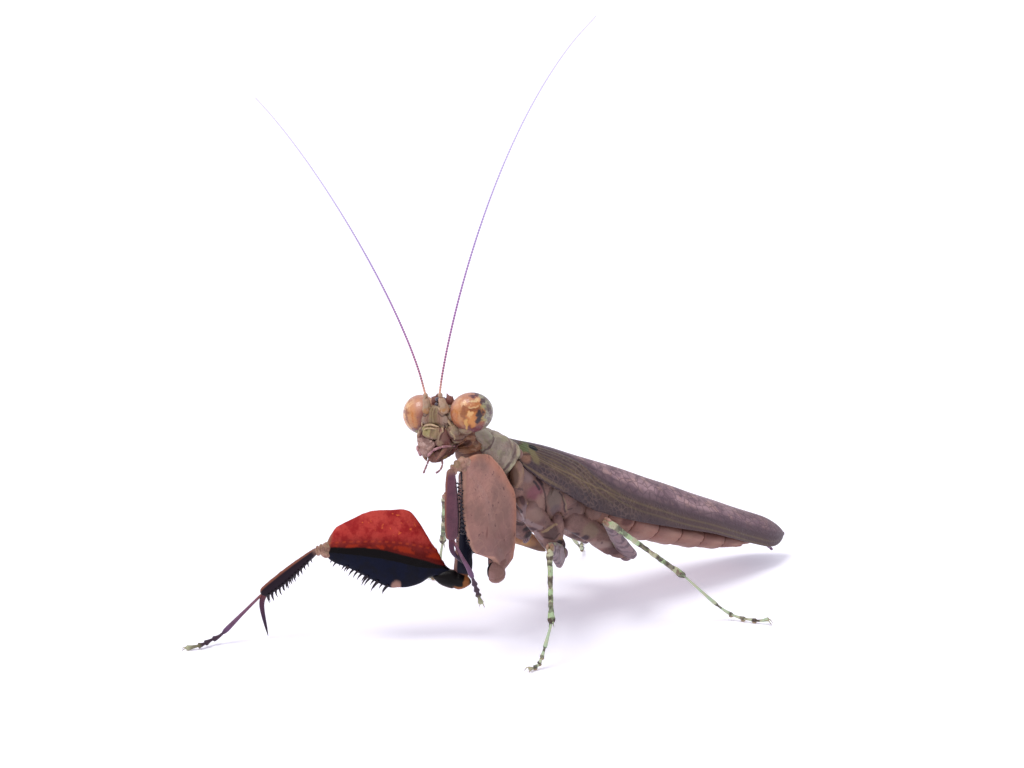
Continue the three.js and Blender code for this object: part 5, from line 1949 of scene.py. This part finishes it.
class MANTIS_OT_abdomen(PieceMaker, Operator):
    """Model the abdomen's rings, the tail plate and the cerci"""

    bl_idname = "mantis.abdomen"
    bl_label = "Abdomen"

    def build(self):
        half = profile((0, 1.5), (0.3, 1.85), (0.6, 1.8), (0.85, 1.5), (1, 1.15))
        middle = profile((0, -2.1), (0.4, -2.1), (0.8, -1.75), (1, -1.4))
        deep = profile((0, 1.25), (0.4, 1.05), (0.8, 0.75), (1, 0.4))
        start, rings = ABDOMEN["start"], ABDOMEN["rings"]
        long = (ABDOMEN["end"] - start) / rings
        for i in range(rings):

            def at(k, i=i):
                return (i + k) / rings

            def place(k, i=i):
                return trunk(0, start + long * (i + k), middle(at(k)))

            def lobed(k):
                """Each ring bulges, and pinches in before the next."""
                return 0.93 + 0.08 * math.sin(math.pi * min(1.0, max(0.0, k)) ** 0.8) ** 0.7

            def relief(x, y, t):
                crease = -0.06 * bump(y, -0.35, 0.06) * (abs(x) > 0.5)
                lip = 0.03 * bump(t, 0.9, 0.1)
                return crease + lip + 0.03 * rough(Vector((3 * x, 3 * y, 2 * t + 5 * i)), 1.4, 9.0)

            shape = new_shape()
            sweep(
                shape, Path(place(-0.03), place(1.03)), TRUNK_UP, up=0.75,
                down=lambda t: deep(at(t)) * (0.93 + 0.1 * t), side=lambda t: half(at(t)) * lobed(t),
                sides=72, steps=30, blunt=(0.05, 0.05), relief=relief,
            )
            finish_piece(
                shape, f"abdomen_{i + 1}_ring", [abdomen_finish()], [f"abdomen_{i + 1}"],
            )

        shape = new_shape()
        end = ABDOMEN["end"]
        sweep(
            shape, Path(trunk(0, end - 0.1, -1.4), trunk(0, end + 1.3, -1.15)), TRUNK_UP, up=0.4,
            down=((0, 0.36), (1, 0.2)), side=((0, 1.05), (0.6, 0.8), (1, 0.4)), sides=48, steps=30,
            blunt=(0.05, 0.3), relief=lambda x, y, t: 0.05 * bump(x, 0, 0.12) * (y > 0),
        )
        finish_piece(shape, "tail_plate_shell", [abdomen_finish()], ["tail_plate"])

        for side, sign in SIDES.items():
            path = Path(
                trunk(sign * 0.9, end + 0.3, -1.0), trunk(sign * 1.0, end + 1.4, -0.95),
                trunk(sign * 1.05, end + 2.45, -1.28),
            )
            shape = new_shape()
            joints = 9
            for i in range(joints):

                def width(t, i=i):
                    k = min(1.0, max(0.0, t * joints - i))
                    return (0.17 - 0.1 * t**1.5) * (0.82 + 0.24 * math.sin(math.pi * k) ** 0.8)

                part = (i / joints, min(1.0, (i + 1.08) / joints))
                sweep(shape, path, UP, width, sides=18, steps=10, blunt=(0.2, 0.25), part=part)
            finish_piece(shape, f"cercus_{side}_joints", [cercus_finish()], [f"cercus_{side}"])


class MANTIS_OT_forelegs(PieceMaker, Operator):
    """Model the forelegs: coxae, broad femur blades with spines, combed tibiae, claws and tarsi"""

    bl_idname = "mantis.forelegs"
    bl_label = "Forelegs"

    def build(self):
        for side, sign in SIDES.items():
            leg = LEGS[f"fore_{side}"]
            self.coxa(side, sign, leg)
            self.trochanter(side, sign, leg)
            self.femur(side, sign, leg)
            self.tibia(side, sign, leg)
            self.tarsus(side, leg)

    def coxa(self, side, sign, leg):
        shape = new_shape()
        facing = Vector((0, -1, 0.3))
        path = Path(leg["hip"], leg["trochanter"])

        def relief(x, y, t):
            edge = 0.07 * bump(y, 0.8, 0.25) + 0.05 * bump(y, -0.8, 0.25)
            return edge * min(1.0, 4 * (1 - t)) + 0.04 * rough(Vector((x, y, 6 * t)), 2.0, 5.0)

        sweep(
            shape, path, facing, ((0, 0.62), (0.3, 0.56), (0.75, 0.42), (0.93, 0.46), (1, 0.3)),
            side=((0, 0.55), (0.3, 0.46), (0.75, 0.38), (0.93, 0.44), (1, 0.3)), sides=48, steps=64,
            blunt=(0.1, 0.08), relief=relief, inner=sign,
        )
        edge = profile((0, 0.66), (0.3, 0.6), (0.75, 0.46), (1, 0.32))
        small = [0.1 + 0.06 * (i % 3 == 1) for i in range(12)]
        comb(shape, path, -facing, edge, (0.14, 0.86), small, 0.2, 0.045, coat=1)
        finish_piece(
            shape, f"fore_coxa_{side}_shell", [fore_coxa_finish(), spine_finish()],
            [f"fore_coxa_{side}"],
        )

    def trochanter(self, side, sign, leg):
        """A lobe under the femur's root, long on the leg that reaches out."""
        shape = new_shape()
        ahead, back = (leg["knee"] - leg["trochanter"]).normalized(), leg["femur_back"]
        start = leg["trochanter"] - ahead * 0.5 - back * 0.1
        if side == "left":
            path = Path(start, start + ahead * 1.3)
        else:
            path = Path(start, start + ahead * 1.0 - back * 0.05, start + ahead * 2.1 - back * 0.08)
        sweep(
            shape, path, back, ((0, 0.3), (0.3, 0.5), (0.65, 0.5), (1, 0.25)),
            ((0, 0.3), (0.3, 0.48), (0.7, 0.42), (1, 0.2)), ((0, 0.28), (0.4, 0.46), (1, 0.28)), sides=40,
            steps=34, blunt=(0.3, 0.25), inner=sign,
            relief=lambda x, y, t: -0.05 * bump(t, 0.4, 0.04) + 0.03 * rough(Vector((x, y, t)), 3.0),
        )
        finish_piece(
            shape, f"fore_trochanter_{side}_shell", [trochanter_finish()],
            [f"fore_trochanter_{side}"],
        )

    def femur(self, side, sign, leg):
        path = Path(leg["trochanter"].lerp(leg["knee"], 0.0 if side == "left" else 0.07), leg["knee"])
        facing = leg["femur_back"]
        shape = new_shape()
        ridge = profile(*DOT_ROW)
        up, down = FEMUR_SHAPES[side]
        rise, drop = profile(*up), profile(*down)

        def relief(x, y, t):
            """A beaded ridge along the inner face and a thin keel round the blade's edge."""
            high = y * (rise(t) if y > 0 else drop(t))
            beads = 0.6 + 0.4 * math.cos(math.tau * 19 * t)
            row = 0.05 * bump(high, ridge(t), 0.07) * (x * sign > 0) * beads
            keel = 0.03 * bump(abs(y), 1.0, 0.04)
            hollow = -0.05 * bump(high, ridge(t) - 0.35, 0.2) * (0.1 < t < 0.9)
            broad = 0.05 * rough(Vector((x, high, 7 * t)), 0.9, 6.0)
            return row + keel + hollow + broad + 0.02 * rough(Vector((x, high, 7 * t)), 3.0, 6.0)

        sweep(
            shape, path, facing, up, down, ((0, 0.26), (0.3, 0.4), (0.9, 0.3), (1, 0.26)), sides=140,
            steps=150, square=0.92, blunt=(0.02, 0.02), relief=relief, inner=sign, sized=True,
        )
        # the knee's lobes, and the folded neck that the tibia hangs on
        ahead, top, across = path.frame(0.97, facing)
        for way in (1, -1):
            egg(
                shape, path.at(0.985) + across * 0.15 * way, (ahead, top, across), (0.34, 0.42, 0.14), 4,
                coat=1,
            )
        neck = [path.at(0.95), leg["knee"], leg["shin"].lerp(leg["ankle"], 0.05)]
        limb(
            shape, neck, ((0, 0.25), (0.5, 0.28), (1, 0.2)), sides=24, steps=40, blunt=(0.2, 0.2), coat=1,
            relief=lambda x, y, t: 0.05 * math.sin(24 * t + 2 * x) + 0.05 * rough(
                Vector((x, y, 3 * t)), 2.0,
            ),
        )
        short = 0.45 if side == "left" else 1.0
        first = 0.3 if side == "left" else 0.47
        spines = count("femur_spines")
        lengths = [(0.34, 0.2, 0.26, 0.16)[i % 4] + 0.22 * bump(i / spines, 0.3, 0.35) for i in range(spines)]
        lengths = [long * short for long in lengths]
        sway = 0.14 if side == "right" else 0.02
        comb(shape, path, facing, drop, (first, 0.92), lengths, 0.5, measure("spine"), coat=2, sway=sway)
        inner_row = [long * short for long in (0.5, 0.62, 0.55, 0.4, 0.3)]
        comb(
            shape, path, facing, drop, (first, 0.8), inner_row, 0.42, measure("spine"), coat=2,
            sway=-1.3 * sway,
        )
        coats = [femur_finish(), knee_finish(), spine_finish()]
        finish_piece(shape, f"fore_femur_{side}_blade", coats, [f"fore_femur_{side}"])

    def tibia(self, side, sign, leg):
        path = Path(leg["shin"], leg["ankle"])
        facing = leg["tibia_back"]
        shape = new_shape()
        broad = 1.4 if side == "left" else 1.0
        up = [(t, high * broad) for t, high in ((0, 0.14), (0.15, 0.2), (0.5, 0.28), (0.85, 0.28), (1, 0.22))]
        down = [(t, high * broad) for t, high in ((0, 0.14), (0.15, 0.2), (0.4, 0.3), (0.7, 0.36), (1, 0.26))]
        down = profile(*down)
        sweep(
            shape, path, facing, up, down, 0.22, sides=40, steps=50, blunt=(0.06, 0.06), inner=sign,
            relief=lambda x, y, t: 0.03 * bump(y, 0.95, 0.15) + 0.02 * rough(Vector((x, y, 5 * t)), 3.0),
        )
        teeth = count("tibia_spines")
        lengths = [0.22 + 0.26 * (i + 1) / teeth + 0.05 * (i % 2) for i in range(teeth)]
        comb(shape, path, facing, down, (0.16, 0.95), lengths, 0.5, 0.08, coat=1, sway=0.2)
        comb(
            shape, path, facing, down, (0.2, 0.9), [0.7 * long for long in lengths], 0.5, 0.06, coat=1,
            sway=-0.2,
        )
        root = leg["shin"].lerp(leg["ankle"], 0.93)
        bow = leg["ankle"].lerp(leg["claw_tip"], 0.45) + facing * 0.22
        tip = leg["claw_tip"] + (leg["claw_tip"] - leg["ankle"]) * 0.12 - facing * 0.22
        limb(
            shape, [root, bow, tip], ((0, 0.17), (0.4, 0.13), (0.8, 0.07), (1, 0.012)), sides=24, steps=40,
            coat=2,
        )
        coats = [fore_tibia_finish(), spine_finish(), claw_finish()]
        finish_piece(shape, f"fore_tibia_{side}_comb", coats, [f"fore_tibia_{side}"])

    def tarsus(self, side, leg):
        """Five joints and two claws, from the claw's root to the toe."""
        out = (leg["toe"] - leg["heel"]).normalized()
        start = leg["shin"].lerp(leg["ankle"], 0.98)
        middle = start.lerp(leg["heel"], 0.5)
        path = Path(start, middle, leg["heel"], *leg["sole"], leg["toe"] + out * 0.1)
        shape = new_shape()
        ends = (0.0, 0.56, 0.67, 0.77, 0.85, 0.97)
        foot_joints(shape, path, UP, ends, 0.145, 0.155, 0.5)
        ahead = path.ahead(1.0)
        across = ahead.cross(UP).normalized()
        for way in (1, -1):
            root = path.at(0.95) + across * way * 0.04
            tip = path.at(1.0) + ahead * 0.16 + across * way * 0.16 - UP * 0.06
            thorn(shape, root, tip, 0.05, (UP + ahead) * 0.07, coat=1)
        drop_on_floor(shape)
        coats = [fore_tarsus_finish(), nail_finish()]
        finish_piece(shape, f"fore_tarsus_{side}_joints", coats, [f"fore_tarsus_{side}"])


def foot_joints(shape, path, facing, ends, up, side, waist=0.7):
    """Joints of a foot, each a little wider at its far end."""
    for start, end in zip(ends, ends[1:]):

        def swell(size, start=start, end=end):
            def value(t):
                k = min(1.0, max(0.0, (t - start) / (end - start)))
                return size * (waist + (1.08 - waist) * k**2)

            return value

        sweep(
            shape, path, facing, swell(up), side=swell(side), sides=18, steps=16, blunt=(0.08, 0.16),
            part=(start, min(1.0, end + 0.015)),
        )


def drop_on_floor(shape):
    """Flatten whatever reaches through the floor."""
    for vert in shape.verts:
        vert.co.z = max(vert.co.z, 0.0)


class MANTIS_OT_walking_legs(PieceMaker, Operator):
    """Model the four walking legs: coxae, bladed thighs, banded shins and jointed feet"""

    bl_idname = "mantis.walking_legs"
    bl_label = "Walking legs"

    def build(self):
        for pair in ("mid", "hind"):
            for side, sign in SIDES.items():
                leg = LEGS[f"{pair}_{side}"]
                self.coxa(pair, side, sign, leg)
                self.thigh(pair, side, leg)
                self.shin(pair, side, leg)
                self.foot(pair, side, leg)

    def coxa(self, pair, side, sign, leg):
        root = trunk(sign * 1.0, 1.3 if pair == "mid" else 4.2, -2.9)
        shape = new_shape()

        def relief(x, y, t):
            seams = -0.06 * bump(t, 0.5, 0.03) - 0.06 * bump(t, 0.8, 0.02)
            return seams + 0.09 * rough(Vector((x, y, 3 * t)), 1.3, 8.0)

        sweep(
            shape, Path(root, leg["hip"]), Vector((0, -1, 0.4)),
            ((0, 0.8), (0.45, 0.62), (0.6, 0.62), (0.8, 0.55), (1, 0.32)),
            side=((0, 0.7), (0.45, 0.56), (0.6, 0.58), (0.8, 0.52), (1, 0.32)), sides=56, steps=56,
            blunt=(0.1, 0.1), relief=relief,
        )
        # the ring between coxa and thigh
        ahead = (leg["knee"] - leg["hip"]).normalized()
        limb(
            shape, [leg["hip"] - ahead * 0.25, leg["hip"] + ahead * 0.35],
            ((0, 0.28), (0.5, 0.38), (1, 0.32)), sides=24, steps=16, blunt=(0.2, 0.2), coat=1,
        )
        if pair == "mid" and side == "left":
            axes = [Vector((1, 0, 0)), Vector((0, 1, 0)), UP]
            egg(shape, Vector((1.5, 0.02, 5.3)), axes, (0.36, 0.4, 0.95), 4)
        if pair == "mid" and side == "right":
            ends = [
                Vector((-1.95, -0.9, 4.25)), Vector((-1.95, 0.0, 4.0)), Vector((-1.9, 1.0, 3.35)),
                Vector((-1.85, 1.7, 2.8)),
            ]
            limb(
                shape, ends, ((0, 0.4), (0.3, 0.5), (0.7, 0.34), (1, 0.14)), sides=24, steps=30,
                blunt=(0.3, 0.2), coat=2,
            )
        coats = [coxa_finish(), thigh_finish(), far_coxa_finish()]
        finish_piece(shape, f"{pair}_coxa_{side}_shell", coats, [f"{pair}_coxa_{side}"])

    def thigh(self, pair, side, leg):
        shape = new_shape()
        facing = leg["knee"] - leg["ankle"]
        path = Path(leg["hip"], leg["knee"])
        lobe = 0.8 if pair == "mid" else 0.82
        sweep(
            shape, path, facing, ((0, 0.34), (0.3, 0.42), (0.9, 0.26), (1, 0.16)),
            ((0, 0.5), (0.2, lobe), (0.55, 0.55), (0.9, 0.3), (1, 0.16)),
            ((0, 0.28), (0.3, 0.24), (0.9, 0.2), (1, 0.15)), sides=48, steps=80, square=0.9,
            blunt=(0.08, 0.04),
            relief=lambda x, y, t: 0.04 * bump(abs(y), 0.95, 0.12) - 0.03 * bump(y, 0.1, 0.2) + 0.05 * rough(
                Vector((x, y, 6 * t)), 1.6, 3.0,
            ),
        )
        ahead, up, across = path.frame(0.97, facing)
        for way in (1, -1):
            egg(
                shape, path.at(0.965) + across * 0.1 * way, (ahead, up, across), (0.3, 0.22, 0.12), 4,
                coat=1,
            )
        coats = [thigh_finish(), knee_finish()]
        finish_piece(shape, f"{pair}_femur_{side}_blade", coats, [f"{pair}_femur_{side}"])

    def shin(self, pair, side, leg):
        shape = new_shape()
        wide = measure("shin")
        start = leg["knee"].lerp(leg["ankle"], 0.01)
        path = Path(start, leg["ankle"])
        facing = UP if abs(path.ahead(0.5).z) < 0.8 else Vector((0, -1, 0))
        sweep(
            shape, path, facing,
            (
                (0, wide * 0.9), (0.07, wide * 1.3), (0.2, wide), (0.8, wide * 0.9), (0.94, wide * 1.35),
                (1, wide),
            ),
            sides=24, steps=70, blunt=(0.04, 0.03),
            relief=lambda x, y, t: 0.05 * rough(Vector((x, y, 8 * t)), 1.8, 1.0),
        )
        ahead, _, across = path.frame(0.94, facing)
        for way in (1, -1):
            root = path.at(0.95) + across * wide * 0.8 * way
            thorn(shape, root, root + ahead * 0.42 + across * 0.14 * way, 0.05)
        finish_piece(
            shape, f"{pair}_tibia_{side}_shell", [shin_finish()], [f"{pair}_tibia_{side}"],
        )

    def foot(self, pair, side, leg):
        ankle = leg["ankle"].lerp(leg["heel"], -0.02)
        along = leg["toe"] - leg["heel"]
        along.z = 0
        along.normalize()
        reach = 0.4 if pair == "hind" else 0.0
        end = leg["toe"] + along * reach + UP * reach * 0.4
        path = Path(ankle, leg["heel"], leg["toe"] - along * 0.4, end)
        facing = UP + along * 0.5
        wide = measure("foot")
        shape = new_shape()
        ends = (0.0, 0.46, 0.63, 0.75, 0.86, 0.98)
        foot_joints(shape, path, facing, ends, wide * 0.95, wide * 1.1, 0.55)
        # pads under the joints
        for t in (0.62, 0.74, 0.85):
            middle = path.at(t)
            middle.z = max(0.07, middle.z - 0.1)
            egg(shape, middle, (along, facing.cross(along).normalized(), UP), (0.13, 0.1, 0.08), 3, coat=1)
        across = along.cross(UP)
        for way in (1, -1):
            root = path.at(0.95) + across * way * 0.06
            tip = path.at(1.0) + along * 0.16 + across * way * 0.2
            tip.z = 0.02
            thorn(shape, root, tip, 0.05, UP * 0.14, coat=2)
        drop_on_floor(shape)
        coats = [foot_finish(), pad_finish(), nail_finish()]
        finish_piece(shape, f"{pair}_foot_{side}_joints", coats, [f"{pair}_foot_{side}"])


class MANTIS_OT_stage(Operator):
    """Set the floor, the camera and the light"""

    bl_idname = "mantis.stage"
    bl_label = "Stage"
    bl_options = {"REGISTER", "UNDO"}

    def execute(self, context):
        scene = context.scene
        scene.view_settings.view_transform = "Standard"

        shape = bmesh.new()
        bmesh.ops.create_grid(shape, x_segments=1, y_segments=1, size=2.0)
        mesh = bpy.data.meshes.new("floor")
        shape.to_mesh(mesh)
        shape.free()
        mesh.materials.append(floor_finish())
        floor = bpy.data.objects.new("floor", mesh)
        scene.collection.objects.link(floor)
        floor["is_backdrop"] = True

        lens = bpy.data.cameras.new("camera")
        lens.lens = 70.3
        lens.clip_start = 0.01
        lens.clip_end = 10
        camera = bpy.data.objects.new("camera", lens)
        camera.location = (Vector((84.04, -60.73, 38.89)) + SHIFT) * MM
        camera.rotation_euler = (math.radians(76), 0, math.radians(55))
        scene.collection.objects.link(camera)
        scene.camera = camera

        lamp = bpy.data.lights.new("soft_top", "SUN")
        lamp.energy = 1.5
        lamp.angle = math.radians(28)
        top = bpy.data.objects.new("soft_top", lamp)
        top.rotation_euler = (math.radians(22), math.radians(-6), 0)
        scene.collection.objects.link(top)

        world = bpy.data.worlds.new("studio")
        world.use_nodes = True
        world.node_tree.nodes["Background"].inputs["Color"].default_value = (0.95, 0.95, 1, 1)
        world.node_tree.nodes["Background"].inputs["Strength"].default_value = 0.72
        scene.world = world
        return {"FINISHED"}


class MANTIS_PT_builder(Panel):
    """The builder's steps, colours and sizes"""

    bl_label = "Boxer Mantis"
    bl_idname = "MANTIS_PT_builder"
    bl_space_type = "VIEW_3D"
    bl_region_type = "UI"
    bl_category = "Mantis"

    def draw(self, context):
        column = self.layout.column(align=True)
        for step in STEPS:
            column.operator(step.bl_idname)
        for group in (context.scene.mantis_sizes, context.scene.mantis_colours):
            column = self.layout.column(align=True)
            for name in group.__annotations__:
                column.prop(group, name)


STEPS = (
    MANTIS_OT_eyes, MANTIS_OT_head, MANTIS_OT_face, MANTIS_OT_jaws, MANTIS_OT_feelers, MANTIS_OT_shield,
    MANTIS_OT_thorax, MANTIS_OT_wings, MANTIS_OT_abdomen, MANTIS_OT_forelegs, MANTIS_OT_walking_legs,
    MANTIS_OT_stage,
)


def register():
    for kind in (MANTIS_PG_colours, MANTIS_PG_sizes, *STEPS, MANTIS_PT_builder):
        bpy.utils.register_class(kind)
    bpy.types.Scene.mantis_colours = PointerProperty(type=MANTIS_PG_colours)
    bpy.types.Scene.mantis_sizes = PointerProperty(type=MANTIS_PG_sizes)


def unregister():
    del bpy.types.Scene.mantis_sizes
    del bpy.types.Scene.mantis_colours
    for kind in (MANTIS_PT_builder, *reversed(STEPS), MANTIS_PG_sizes, MANTIS_PG_colours):
        bpy.utils.unregister_class(kind)


def main():
    register()
    bpy.ops.mantis.eyes()
    bpy.ops.mantis.head()
    bpy.ops.mantis.face()
    bpy.ops.mantis.jaws()
    bpy.ops.mantis.feelers()
    bpy.ops.mantis.shield()
    bpy.ops.mantis.thorax()
    bpy.ops.mantis.wings()
    bpy.ops.mantis.abdomen()
    bpy.ops.mantis.forelegs()
    bpy.ops.mantis.walking_legs()
    bpy.ops.mantis.stage()
    boxes = {"cad": CAD_BOX, "visual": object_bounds()}
    sizes = {name: [list(corner) for corner in box] for name, box in boxes.items()}


if __name__ == "__main__":
    main()
